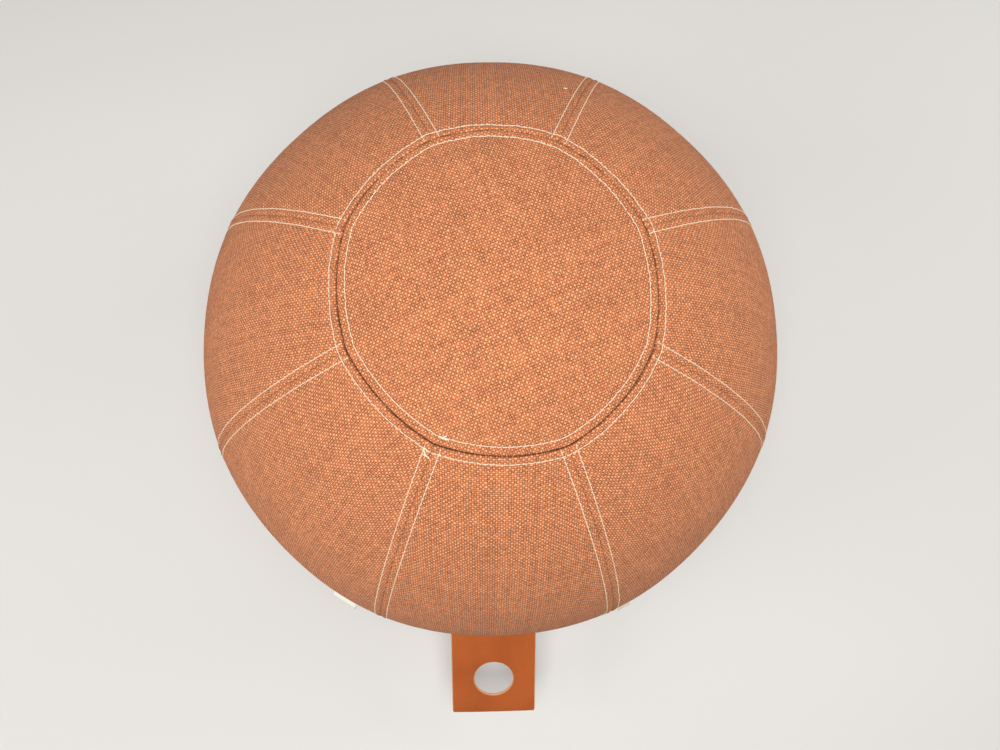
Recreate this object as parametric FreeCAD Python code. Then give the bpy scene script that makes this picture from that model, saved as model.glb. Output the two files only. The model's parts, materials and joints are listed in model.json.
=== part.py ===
"""A ball-shaped pouf: an inflated bladder in a sewn and zipped fabric cover, with a leather pull tab.

Frame: millimetres, +Z up, origin on the floor at the centre of the flat foot. The tab points along -Y,
which is the front. Heights are above the floor. Azimuths are in degrees from +X, positive towards +Y.
"""

import FreeCAD, Part

import os
from math import acos, ceil, cos, degrees, radians, sin, sqrt

from FreeCAD import Placement, Rotation, Vector

# Ball and foot
ball_diameter = 650.0
base_diameter = 330.0

# Sewn cover: one seat panel, a row of side panels above the waist seam and a row of lower panels below it
panel_count = 8
panel_thickness = 3.0
seam_gap = 0.6
seam_channel_depth = 1.4
seam_channel_flare = 1.6
seat_radius = 137.5
seat_draw_in = 4.0
waist_height = 170.0
layer_gap = 0.2

# Topstitching and the tapes that back the seams
thread_diameter = 1.2
thread_lift = 0.1
side_stitch_offset = 6.5
ring_stitch_inside = 8.3
ring_stitch_outside = 7.2
seam_tape_width = 22.0
seam_tape_thickness = 0.6

# Base: non-slip panel outside, rubber weight and lining inside
base_thickness = 3.0
base_inset = 3.0
weight_thickness = 6.0
weight_clearance = 6.0
base_lining_thickness = 1.5

# Inflated bladder and its plug
bladder_wall = 1.0
bladder_clearance = 1.2
valve_azimuth = 90.0
valve_bore = 10.0
valve_neck_wall = 3.0
valve_neck_length = 14.0
plug_head_diameter = 16.0
plug_head_thickness = 1.5
plug_end_gap = 1.0

# Zip along the waist seam, open at the front where the tab and the labels are sewn in
zip_front_half_angle = 38.0
zip_row_gap = 1.8
zip_coil_width = 3.0
zip_coil_height = 2.2
zip_tape_width = 16.0
zip_tape_thickness = 0.8
zip_stop_length = 4.0
zip_clearance = 0.35
zip_edge_stitch = 4.0

# Zip slider and its pull
slider_length = 15.0
slider_plate = 1.3
slider_lip = 0.8
slider_neck = 1.0
slider_neck_length = 3.0
bridge_diameter = 1.6
bridge_post = 1.6
pull_width = 8.0
pull_wall = 1.0
pull_length = 40.0
pull_clearance = 0.2

# Leather pull tab with a finger hole
tab_width = 110.0
tab_length = 165.0
tab_thickness = 4.5
tab_corner = 3.0
tab_droop = 25.4
tab_hole_diameter = 52.0
tab_hole_to_end = 54.0
tab_hinge_stand_off = 5.0
tab_root_thickness = 3.0
tab_flange_depth = 18.0
tab_flange_thickness = 1.2
tab_clearance = 0.3

# Sewn-in labels
care_label_azimuth = -122.6
care_label_width = 37.0
size_label_azimuth = -61.6
size_label_width = 18.0
label_reach = 62.0
label_thickness = 0.4

# Worked out from the sizes above
FRONT = -90.0
PITCH = 360.0 / panel_count
UP = Vector(0, 0, 1)
ball_radius = ball_diameter / 2
cover_inside = ball_radius - panel_thickness
centre_height = sqrt(ball_radius**2 - (base_diameter / 2) ** 2)
CENTRE = Vector(0, 0, centre_height)
waist_polar = degrees(acos((waist_height - centre_height) / ball_radius))
zip_start = FRONT + zip_front_half_angle
zip_span = 360.0 - 2 * zip_front_half_angle
tape_outside = cover_inside - layer_gap
tape_inside = tape_outside - zip_tape_thickness
coil_inside = tape_outside + layer_gap
coil_outside = coil_inside + zip_coil_height
coil_edge = zip_row_gap / 2 + zip_coil_width
slider_half_width = coil_edge + zip_clearance + slider_lip
slider_back = tape_inside - zip_clearance - slider_plate
slider_top = coil_outside + zip_clearance + slider_plate
slot_half_width = slider_half_width + zip_clearance
waist_stitch_offset = slot_half_width + zip_edge_stitch
pull_bore = bridge_diameter + 2 * pull_clearance
pull_loop_diameter = pull_bore + 2 * pull_wall
bridge_axis = slider_top + pull_loop_diameter / 2 + pull_clearance
bladder_radius = slider_back - bladder_clearance
plug_seat = bladder_radius - plug_head_thickness - plug_end_gap / 2
weight_top = base_thickness + weight_thickness
lining_top = weight_top + base_lining_thickness


def polar_step(arc_length):
    """The polar angle, in degrees, that an arc of this length takes up on the ball."""
    return degrees(arc_length / ball_radius)


def turned(shape, azimuth):
    """A copy of the shape turned about the pouf's axis."""
    copy = shape.copy()
    copy.rotate(Vector(), UP, azimuth)
    return copy


def on_ball(azimuth, polar, radius):
    """The point at this azimuth, polar angle from the top and distance from the ball's centre."""
    out = radius * sin(radians(polar))
    height = radius * cos(radians(polar))
    return CENTRE + Vector(out * cos(radians(azimuth)), out * sin(radians(azimuth)), height)


def waist_frame(azimuth):
    """Frame at the ball's centre with X out through the waist seam, Y along it and Z up across it."""
    lean = Rotation(Vector(0, 1, 0), waist_polar - 90)
    return Placement(CENTRE, Rotation(UP, azimuth).multiply(lean))


def band(inside, outside, below, above, start, span):
    """A piece of spherical shell along the waist, between two arc lengths above the waist seam."""
    low = [(inside, below), (outside, below)]
    high = [(outside, above), (inside, above)]
    return band_between(low, high, start, span)


def panel_band(below, above, start, span):
    """A band of the cover whose outer edges are eased, so that neighbours meet in a drawn-in channel."""
    floor = ball_radius - seam_channel_depth
    low = [(cover_inside, below), (floor, below), (ball_radius, below + seam_channel_flare)]
    high = [(ball_radius, above - seam_channel_flare), (floor, above), (cover_inside, above)]
    return band_between(low, high, start, span)


def band_between(low_edge, high_edge, start, span):
    """A solid turned about the pouf's axis between two edges, runs of (radius, arc length) corners."""
    low = [on_ball(0, waist_polar - polar_step(arc), radius) for radius, arc in low_edge]
    high = [on_ball(0, waist_polar - polar_step(arc), radius) for radius, arc in high_edge]
    middle = waist_polar - polar_step((low_edge[0][1] + high_edge[-1][1]) / 2)
    outer_arc = Part.Arc(low[-1], on_ball(0, middle, low_edge[-1][0]), high[0])
    inner_arc = Part.Arc(high[-1], on_ball(0, middle, low_edge[0][0]), low[0])
    lines = [Part.LineSegment(*ends) for run in (low, high) for ends in zip(run, run[1:])]
    edges = [curve.toShape() for curve in [outer_arc, inner_arc, *lines]]
    outline = Part.Wire(Part.__sortEdges__(edges))
    return turned(Part.Face(outline).revolve(Vector(), UP, span), start)


def block_beyond(point, normal):
    """A block that fills the space on the side of a plane that its normal points to."""
    side = 4 * ball_diameter
    block = Part.makeBox(side, side, side, Vector(-side / 2, -side / 2, 0))
    block.Placement = Placement(point, Rotation(UP, normal))
    return block


def single(shape):
    """The one solid that a shape holds."""
    if len(shape.Solids) != 1:
        raise ValueError(f"expected one solid, found {len(shape.Solids)}")
    return shape.Solids[0]


def cut_in_turn(shape, cutters):
    """The one solid that is left after each cutter in turn."""
    for cutter in cutters:
        shape = shape.cut(cutter)
    return single(shape)


def ring_polar(azimuth_from_panel_middle):
    """Polar angle of the ring seam round the seat, at a side seam or at the middle of a panel."""
    at_seam = abs(azimuth_from_panel_middle) > PITCH / 4
    radius = seat_radius if at_seam else seat_radius - seat_draw_in
    return degrees(acos(sqrt(1 - (radius / ball_radius) ** 2)))


def ring_points(shift, radius, margin=0.0):
    """Three points of the ring seam over the front panel, moved down the ball by an arc length."""
    angles = (-PITCH / 2 + margin, 0.0, PITCH / 2 - margin)
    return [on_ball(FRONT + a, ring_polar(a) + polar_step(shift), radius) for a in angles]


def ring_axis():
    """Direction from the ball's centre about which the ring seam over the front panel is an arc."""
    left, middle, right = ring_points(0, ball_radius)
    normal = (right - middle).cross(left - middle)
    normal.normalize()
    return normal if normal.z > 0 else normal * -1


def ring_half_angle():
    """Angle at the ball's centre between the ring axis and the ring seam over the front panel."""
    middle = ring_points(0, ball_radius)[1] - CENTRE
    return degrees(middle.getAngle(ring_axis()))


def turned_solid(corners, axis):
    """A solid turned all the way about an axis through the ball's centre, from (along, out) corners."""
    points = [Vector(out, 0, along) for along, out in corners]
    solid = Part.Face(Part.makePolygon(points + points[:1])).revolve(Vector(), UP, 360)
    solid.Placement = Placement(CENTRE, Rotation(UP, axis))
    return solid


def within_ring(side):
    """What lies inside the ring seam over the front panel, drawn in (1) or widened (-1) by half the gap."""
    half = polar_step(seam_gap / 2)
    mouth = half + polar_step(2 * seam_channel_flare)
    far = ball_diameter
    floor = ball_radius - seam_channel_depth
    rim = [(floor, half), (ball_radius + seam_channel_depth, mouth), (far, mouth)]
    angles = [(radius, radians(ring_half_angle() - side * turn)) for radius, turn in rim]
    corners = [(radius * cos(angle), radius * sin(angle)) for radius, angle in angles]
    return turned_solid([(0, 0), *corners, (far, 0)], ring_axis())


def beyond_side_seam(side):
    """What lies past the front panels' left (-1) or right (1) side seam, with the channel's eased edge."""
    wall = -seam_gap / 2
    mouth = wall - 2 * seam_channel_flare
    far = ball_diameter
    floor = ball_radius - seam_channel_depth
    above = ball_radius + seam_channel_depth
    corners = [(wall, 0), (wall, floor), (mouth, above), (mouth, far), (far, far), (far, 0)]
    return turned_solid(corners, seam_normal(side))


def seam_normal(side):
    """Horizontal direction out of the front panel, square to its left (-1) or right (1) side seam."""
    azimuth = radians(FRONT + side * PITCH / 2)
    return Vector(-sin(azimuth), cos(azimuth), 0) * side


def side_cuts(half_gap):
    """Blocks that cut a front panel back by half a gap from both of its side seams."""
    return [block_beyond(seam_normal(side) * -half_gap, seam_normal(side)) for side in (-1, 1)]


def arc_to(polar):
    """Arc length above the waist seam of a polar angle."""
    return radians(waist_polar - polar) * ball_radius


def base_edge_polar():
    """Polar angle at which the lower panels end, just above the base panel."""
    return degrees(acos((base_thickness + seam_gap - centre_height) / ball_radius))


# Cover panels

def seat_panel():
    """The round seat, bounded by the ring seam."""
    shell = Part.makeSphere(ball_radius, CENTRE).cut(Part.makeSphere(cover_inside, CENTRE))
    wedge = shell.cut(side_cuts(0)).common(within_ring(1))
    wedges = [turned(wedge, number * PITCH) for number in range(panel_count)]
    return single(wedges[0].fuse(wedges[1:]).removeSplitter())


def waist_stretches(number):
    """Stretches of a panel's waist edge: both ends from its middle, and how far the edge stands off."""
    middle = number * PITCH
    tab_half = degrees((tab_width / 2 + tab_clearance) / waist_radius())
    changes = (-tab_half, tab_half, zip_front_half_angle, 360 - zip_front_half_angle)
    inner = [turn - middle for turn in changes if abs(turn - middle) < PITCH / 2]
    ends = [-PITCH, *inner, PITCH]
    stretches = []
    for start, end in zip(ends, ends[1:]):
        at = middle + (max(start, -PITCH / 2) + min(end, PITCH / 2)) / 2
        stand_off = seam_gap / 2
        if zip_front_half_angle < at < 360 - zip_front_half_angle:
            stand_off = slot_half_width
        elif abs(at) < tab_half:
            stand_off = tab_root_thickness / 2 + tab_clearance
        stretches.append((start, end, stand_off))
    return stretches


def panel_blank(number, far_edge):
    """A panel from the waist seam to a far edge above or below it, wider than its side seams."""
    pieces = []
    for start, end, stand_off in waist_stretches(number):
        edges = (stand_off, far_edge) if far_edge > 0 else (far_edge, -stand_off)
        pieces.append(panel_band(*edges, FRONT + start, end - start))
    if len(pieces) == 1:
        return pieces[0]
    return single(pieces[0].fuse(pieces[1:]).removeSplitter())


def side_panels():
    """The side panels from the waist seam up to the ring seam, from the front round towards +X."""
    top = arc_to(ring_polar(0)) + seam_tape_width
    cutters = [beyond_side_seam(-1), beyond_side_seam(1), within_ring(-1)]
    panels = [cut_in_turn(panel_blank(number, top), cutters) for number in range(panel_count)]
    return [turned(panel, number * PITCH) for number, panel in enumerate(panels)]


def lower_panels():
    """The lower panels from the base up to the waist seam, in the same order."""
    bottom = arc_to(base_edge_polar())
    cutters = [beyond_side_seam(-1), beyond_side_seam(1)]
    panels = [cut_in_turn(panel_blank(number, bottom), cutters) for number in range(panel_count)]
    return [turned(panel, number * PITCH) for number, panel in enumerate(panels)]


# Seam tapes and topstitching

def tape_shell(below, above, span_start, span):
    """A strip of seam tape against the inside of the cover."""
    outside = cover_inside - layer_gap
    return band(outside - seam_tape_thickness, outside, below, above, span_start, span)


def seam_tapes(below, above):
    """One strip behind each side seam, between two arc lengths above the waist seam."""
    wide = tape_shell(below, above, FRONT - PITCH / 2, PITCH)
    strip = single(wide.cut([turned(cut, side * PITCH / 2) for side, cut in strip_cuts()]))
    return Part.makeCompound([turned(strip, (number + 0.5) * PITCH) for number in range(panel_count)])


def strip_cuts():
    """Blocks that leave half the tape's width on each side of the middle of the front panel."""
    return list(zip((1, -1), side_cuts(-seam_tape_width / 2)))


def ring_tape():
    """The tape behind the ring seam round the seat."""
    top = arc_to(ring_polar(0)) + seam_tape_width / 2
    return tape_shell(top - seam_tape_width, top, 0, 360)


def thread(points):
    """A round thread along the arc through three points."""
    arc = Part.Arc(*points)
    start = arc.value(arc.FirstParameter)
    section = Part.Circle(start, arc.tangent(arc.FirstParameter)[0], thread_diameter / 2).toShape()
    return Part.Wire(arc.toShape()).makePipeShell([Part.Wire(section)], True, False)


def thread_radius():
    """Distance from the ball's centre at which a thread lies on the cover."""
    return ball_radius + thread_lift + thread_diameter / 2


def side_threads(low_polar, high_polar):
    """Two threads beside each side seam, between two polar angles."""
    row_radius = sqrt(thread_radius() ** 2 - side_stitch_offset**2)
    rows = []
    for number in range(panel_count):
        azimuth = FRONT + (number + 0.5) * PITCH
        across = Vector(-sin(radians(azimuth)), cos(radians(azimuth)), 0)
        for side in (-1, 1):
            polars = (low_polar, (low_polar + high_polar) / 2, high_polar)
            points = [on_ball(azimuth, p, row_radius) + across * side * side_stitch_offset for p in polars]
            rows.append(thread(points))
    return Part.makeCompound(rows)


def ring_threads():
    """The thread inside the ring seam and the one outside it, a length for each panel."""
    margin = degrees(thread_diameter / seat_radius)
    rows = []
    for shift in (-ring_stitch_inside, ring_stitch_outside):
        row = thread(ring_points(shift, thread_radius(), margin))
        rows += [turned(row, number * PITCH) for number in range(panel_count)]
    return Part.makeCompound(rows)


def waist_threads():
    """Threads above and below the zip, a length for each panel that the zip crosses."""
    rows = []
    lengths = ceil(zip_span / PITCH)
    step = zip_span / lengths
    margin = degrees(2 * side_stitch_offset / waist_radius())
    for side in (-1, 1):
        polar = waist_polar - polar_step(side * waist_stitch_offset)
        for number in range(lengths):
            start = zip_start + number * step
            azimuths = (start + margin / 2, start + step / 2, start + step - margin / 2)
            rows.append(thread([on_ball(a, polar, thread_radius()) for a in azimuths]))
    return Part.makeCompound(rows)


# Base

def disc(diameter, low, high):
    """A flat disc on the pouf's axis."""
    return Part.makeCylinder(diameter / 2, high - low, Vector(0, 0, low))


def base_panel():
    """The non-slip panel that the pouf stands on."""
    rim_radius = sqrt(ball_radius**2 - (centre_height - base_thickness) ** 2)
    return disc(2 * (rim_radius - base_inset), 0, base_thickness)


def weight_disc(low, high):
    """A disc inside the cover that clears the lower panels."""
    room = sqrt(cover_inside**2 - (centre_height - base_thickness) ** 2)
    return disc(2 * (room - weight_clearance), low, high)


# Bladder and valve

def ball_cut_flat(radius, floor):
    """A ball round the cover's centre, cut flat at a height."""
    return Part.makeSphere(radius, CENTRE).cut(block_beyond(Vector(0, 0, floor), UP * -1))


def valve_cylinder(diameter, inner, outer):
    """A cylinder on the valve's axis, between two distances from the ball's centre."""
    cylinder = Part.makeCylinder(diameter / 2, outer - inner, Vector(inner, 0, 0), Vector(1, 0, 0))
    cylinder.Placement = waist_frame(valve_azimuth)
    return cylinder


def air_bladder():
    """The inflated bladder, with the neck that its plug pushes into."""
    floor = lining_top + layer_gap
    outer = ball_cut_flat(bladder_radius, floor)
    inner = ball_cut_flat(bladder_radius - bladder_wall, floor + bladder_wall)
    neck_start = bladder_radius - valve_neck_length
    neck = valve_cylinder(plug_head_diameter + 2 * valve_neck_wall, neck_start, ball_radius).common(outer)
    bore = valve_cylinder(valve_bore, neck_start - plug_end_gap, ball_radius)
    recess = valve_cylinder(plug_head_diameter + plug_end_gap, plug_seat, ball_radius)
    return single(outer.cut(inner).fuse(neck).cut([bore, recess]).removeSplitter())


def valve_plug():
    """The stopper in the bladder's neck."""
    shank = valve_cylinder(valve_bore, bladder_radius - valve_neck_length + plug_end_gap, plug_seat)
    head = valve_cylinder(plug_head_diameter, plug_seat, plug_seat + plug_head_thickness)
    return single(shank.fuse(head).removeSplitter())


# Zip

def zip_tape(side):
    """The tape above (1) or below (-1) the middle of the zip."""
    edges = sorted((side * zip_row_gap / 2, side * (zip_row_gap / 2 + zip_tape_width)))
    return band(tape_inside, tape_outside, *edges, zip_start, zip_span)


def zip_coil(side):
    """The coil of teeth above (1) or below (-1) the middle of the zip, as its outer shape."""
    edges = sorted((side * zip_row_gap / 2, side * coil_edge))
    margin = degrees(2 * zip_stop_length / waist_radius())
    return band(coil_inside, coil_outside, *edges, zip_start + margin, zip_span - 2 * margin)


def zip_stops():
    """The stop at each end of the zip."""
    angle = degrees(zip_stop_length / waist_radius())
    starts = (zip_start + angle / 2, zip_start + zip_span - 1.5 * angle)
    stops = [band(coil_inside, coil_outside, -coil_edge, coil_edge, start, angle) for start in starts]
    return Part.makeCompound(stops)


def waist_radius():
    """Radius of the waist seam about the pouf's axis."""
    return ball_radius * sin(radians(waist_polar))


def slider_azimuth():
    """Azimuth of the slider's middle with the zip closed, against the stop at the start."""
    return zip_start + degrees((2 * zip_stop_length + slider_length / 2 + zip_clearance) / waist_radius())


def slider_box(x_range, y_range, z_range):
    """A block in the slider's frame, from its ranges along X, Y and Z."""
    lows, highs = zip(x_range, y_range, z_range)
    size = [high - low for low, high in zip(lows, highs)]
    return Part.makeBox(*size, Vector(*lows))


def zip_slider():
    """The slider: two plates joined by a neck, lips beside the coils and a bridge that holds the pull."""
    half = slider_length / 2
    length = (-half, half)
    width = (-slider_half_width, slider_half_width)
    neck = (-slider_neck / 2, slider_neck / 2)
    face = slider_top - slider_plate
    pieces = [
        slider_box((face, slider_top), length, width),
        slider_box((slider_back, slider_back + slider_plate), length, width),
        slider_box((slider_back, face), (half - slider_neck_length, half), neck),
    ]
    for side in (-1, 1):
        lip = sorted((side * (slider_half_width - slider_lip), side * slider_half_width))
        pieces.append(slider_box((tape_outside + zip_clearance, face), length, lip))
    clear_half = pull_width / 2 + zip_clearance
    for side in (-1, 1):
        post = sorted((side * clear_half, side * (clear_half + bridge_post)))
        post_top = bridge_axis + bridge_diameter / 2
        pieces.append(slider_box((face, post_top), post, (-bridge_diameter / 2, bridge_diameter / 2)))
    bar_start = Vector(bridge_axis, -clear_half - bridge_post / 2, 0)
    bar_length = 2 * clear_half + bridge_post
    pieces.append(Part.makeCylinder(bridge_diameter / 2, bar_length, bar_start, Vector(0, 1, 0)))
    slider = pieces[0].fuse(pieces[1:]).removeSplitter()
    slider.Placement = waist_frame(slider_azimuth())
    return single(slider)


def zip_pull():
    """The pull: a folded strip that loops round the slider's bridge and hangs straight down from it."""
    along = Vector(0, 1, 0)
    start = Vector(0, -pull_width / 2, 0)
    loop = Part.makeCylinder(pull_loop_diameter / 2, pull_width, start, along)
    tail = Part.makeBox(2 * pull_wall, pull_width, pull_length, start + Vector(-pull_wall, 0, -pull_length))
    bore = Part.makeCylinder(pull_bore / 2, pull_width, start, along)
    pull = loop.fuse(tail).cut(bore).removeSplitter()
    hook = waist_frame(slider_azimuth()).multVec(Vector(bridge_axis, 0, 0))
    pull.Placement = Placement(hook, Rotation(UP, slider_azimuth()))
    return single(pull)


# Leather tab and labels

def tab_axis():
    """Point on the line about which the tab bends, just outside the cover."""
    return Vector(0, -waist_radius() - tab_hinge_stand_off, waist_height)


def pull_tab():
    """The flat leather tab with its finger hole, drooping from the waist seam."""
    half = tab_thickness / 2
    plate = Part.makeBox(tab_width, tab_length, tab_thickness, Vector(-tab_width / 2, -tab_length, -half))
    end_edges = [e for e in plate.Edges if all(v.Y < half - tab_length for v in e.Vertexes)]
    corners = [e for e in end_edges if e.Vertexes[0].X * e.Vertexes[1].X > 0]
    plate = plate.makeFillet(tab_corner, corners)
    root = Part.makeCylinder(half, tab_width, Vector(-tab_width / 2, 0, 0), Vector(1, 0, 0))
    hole_middle = Vector(0, tab_hole_to_end - tab_length, -tab_thickness)
    hole = Part.makeCylinder(tab_hole_diameter / 2, 2 * tab_thickness, hole_middle)
    tab = plate.fuse(root).cut(hole).removeSplitter()
    tab.Placement = Placement(tab_axis(), Rotation(Vector(1, 0, 0), tab_droop))
    return single(tab)


def tab_root():
    """The end of the tab that the waist seam grips, with its flange sewn behind the lower panel."""
    half_angle = degrees(tab_width / 2 / waist_radius())
    half = tab_root_thickness / 2
    flange_outside = cover_inside - layer_gap
    inside = flange_outside - tab_flange_thickness
    outside = ball_radius + tab_hinge_stand_off
    through = band(inside, outside, -half, half, FRONT - half_angle, 2 * half_angle)
    flange = band(inside, flange_outside, -tab_flange_depth, half, FRONT - half_angle, 2 * half_angle)
    edge = tab_axis() + Vector(0, tab_thickness / 2 + tab_clearance, 0)
    return single(through.fuse(flange).cut(block_beyond(edge, Vector(0, -1, 0))).removeSplitter())


def label(azimuth, width):
    """A plain label sewn into the waist seam and standing out from it."""
    span = degrees(width / waist_radius())
    half = label_thickness / 2
    return band(cover_inside, ball_radius + label_reach, -half, half, azimuth - span / 2, span)


def nodes():
    """Every piece of the pouf by name."""
    pieces = {"seat_panel": seat_panel()}
    for number, panel in enumerate(side_panels(), start=1):
        pieces[f"side_panel_{number}"] = panel
    for number, panel in enumerate(lower_panels(), start=1):
        pieces[f"lower_panel_{number}"] = panel
    ring_edge = arc_to(ring_polar(PITCH / 2)) - seam_tape_width
    zip_edge = zip_row_gap / 2 + zip_tape_width + seam_gap
    base_edge = arc_to(base_edge_polar()) + seam_tape_width
    pieces["side_seam_tapes"] = seam_tapes(zip_edge, ring_edge)
    pieces["lower_seam_tapes"] = seam_tapes(base_edge, -zip_edge)
    pieces["ring_seam_tape"] = ring_tape()
    waist_step = polar_step(waist_stitch_offset + 2 * thread_diameter)
    ring_end = ring_polar(PITCH / 2) + polar_step(ring_stitch_outside + 2 * thread_diameter)
    pieces["side_stitching"] = side_threads(waist_polar - waist_step, ring_end)
    base_end = base_edge_polar() - polar_step(thread_diameter)
    pieces["lower_stitching"] = side_threads(base_end, waist_polar + waist_step)
    pieces["ring_stitching"] = ring_threads()
    pieces["waist_stitching"] = waist_threads()
    pieces["base_panel"] = base_panel()
    pieces["base_weight"] = weight_disc(base_thickness, weight_top)
    pieces["base_lining"] = weight_disc(weight_top, lining_top)
    pieces["air_bladder"] = air_bladder()
    pieces["valve_plug"] = valve_plug()
    pieces["upper_zip_tape"] = zip_tape(1)
    pieces["lower_zip_tape"] = zip_tape(-1)
    pieces["upper_zip_coil"] = zip_coil(1)
    pieces["lower_zip_coil"] = zip_coil(-1)
    pieces["zip_stops"] = zip_stops()
    pieces["zip_slider"] = zip_slider()
    pieces["zip_pull"] = zip_pull()
    pieces["pull_tab"] = pull_tab()
    pieces["tab_root"] = tab_root()
    pieces["care_label"] = label(care_label_azimuth, care_label_width)
    pieces["size_label"] = label(size_label_azimuth, size_label_width)
    return pieces


def main():
    os.makedirs("parts", exist_ok=True)
    for name, shape in nodes().items():
        shape.exportStep(f"parts/{name}.step")
        print(f"{name}: {len(shape.Solids)} solids, {shape.Volume / 1000:.1f} cm3, valid {shape.isValid()}")


main()
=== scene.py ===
"""Dresses the ball pouf: woven cover, topstitching, leather pull tab, labels, zip, foot and bladder.

Metres, +Z up, origin on the floor under the ball, the pull tab towards -Y, which is the front. Azimuths run
from +X towards +Y, and polar angles run down from the top of the ball.
"""

import json
from math import acos, asin, atan2, ceil, cos, pi, radians, sin, sqrt, tan

import bpy
import numpy as np
from bpy.props import FloatProperty, FloatVectorProperty, IntProperty, PointerProperty
from mathutils import Matrix, Vector


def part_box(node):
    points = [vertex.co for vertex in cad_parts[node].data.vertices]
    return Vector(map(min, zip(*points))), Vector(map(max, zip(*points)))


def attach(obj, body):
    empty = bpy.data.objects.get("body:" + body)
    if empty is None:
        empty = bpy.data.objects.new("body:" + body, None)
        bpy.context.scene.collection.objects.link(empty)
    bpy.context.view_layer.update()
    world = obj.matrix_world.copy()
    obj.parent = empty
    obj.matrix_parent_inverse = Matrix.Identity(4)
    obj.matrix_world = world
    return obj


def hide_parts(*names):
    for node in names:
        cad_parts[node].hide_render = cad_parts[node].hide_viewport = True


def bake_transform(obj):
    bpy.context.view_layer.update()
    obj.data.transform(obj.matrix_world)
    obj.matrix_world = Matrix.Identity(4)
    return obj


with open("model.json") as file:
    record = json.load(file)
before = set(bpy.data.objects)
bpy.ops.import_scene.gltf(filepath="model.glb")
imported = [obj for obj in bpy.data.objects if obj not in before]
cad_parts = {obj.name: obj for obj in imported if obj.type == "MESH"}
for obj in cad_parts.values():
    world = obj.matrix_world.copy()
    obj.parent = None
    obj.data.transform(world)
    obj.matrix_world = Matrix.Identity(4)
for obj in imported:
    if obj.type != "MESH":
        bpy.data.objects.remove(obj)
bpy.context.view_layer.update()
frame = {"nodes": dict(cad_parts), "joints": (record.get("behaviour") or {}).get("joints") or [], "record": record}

bl_info = {
    "name": "Ball pouf",
    "version": (1, 0, 0),
    "blender": (4, 5, 0),
    "location": "View3D > Sidebar > Pouf",
    "description": "Dresses a ball-shaped pouf: sewn cover, zip, leather pull tab and foot",
    "category": "Add Mesh",
}

MILLIMETRE = 0.001
FRONT = -pi / 2
UP = np.array([0.0, 0.0, 1.0])

# Layers of the meshes that finishes read
GRAIN = "grain"
RAW_EDGE = "raw_edge"
# Painted shade along the seams, which darkens the cover cloth's colour
IN_SEAM = "in_seam"

JOINTS = {joint["name"]: joint for joint in frame["joints"]}
MOUNTS = {mount["name"]: mount for mount in frame["record"]["mounts"]}
TAB_HINGE = Vector(JOINTS["tab_bend"]["pos_m"])
TAB_HOLE_RADIUS = MOUNTS["tab_hole"]["dims"]["r_mm"] * MILLIMETRE
PULL_HOOK = Vector(JOINTS["zip_pull_swing"]["pos_m"])
PULL_AZIMUTH = atan2(PULL_HOOK.y, PULL_HOOK.x)

# How far the points beside an edge are from it: on the panels and on the tab
SEAM_STEPS = 0.016 * np.linspace(0, 1, 13) ** 1.6
TAB_STEPS = np.array([0.0, 0.5, 1.3]) * MILLIMETRE
# Distance between the other points of a panel, from its top to its bottom
PANEL_STEP = 0.003
# Points round the seat, and after how many of them its lining has one
SEAT_COLUMNS = 256
SEAT_EVERY = 8
# Wave lengths and starts of the gathered cloth
GATHERS = ((0.0019, 1.3), (0.0031, 4.1), (0.0072, 0.0))
# Rays by which something is looked at
LOOKS = ("Camera", "Glossy", "Transmission")
# The soft lights: side of their square and the point that they face
LIGHT_SIZE = 1.2
LIGHT_AIM = Vector((0, 0, 0.3))


def paint(red, green, blue):
    """A colour given as 0 to 255 screen values, in the linear values that shaders use."""
    shares = [level / 255 for level in (red, green, blue)]
    return [c / 12.92 if c <= 0.04045 else ((c + 0.055) / 1.055) ** 2.4 for c in shares]


def length(name, description, default):
    """A length in metres that a user can change."""
    return FloatProperty(name=name, description=description, default=default, unit="LENGTH", precision=5)


def plain_number(name, description, default, unit="NONE"):
    """A plain number that a user can change."""
    return FloatProperty(name=name, description=description, default=default, unit=unit)


def whole_number(name, description, default):
    """A whole number that a user can change."""
    return IntProperty(name=name, description=description, default=default)


def angle(name, description, degrees):
    """An angle that a user can change."""
    return FloatProperty(name=name, description=description, default=radians(degrees), subtype="ANGLE")


def colour(name, description, red, green, blue):
    """A colour that a user can change."""
    default = paint(red, green, blue)
    return FloatVectorProperty(name=name, description=description, default=default, subtype="COLOR", size=3)


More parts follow.
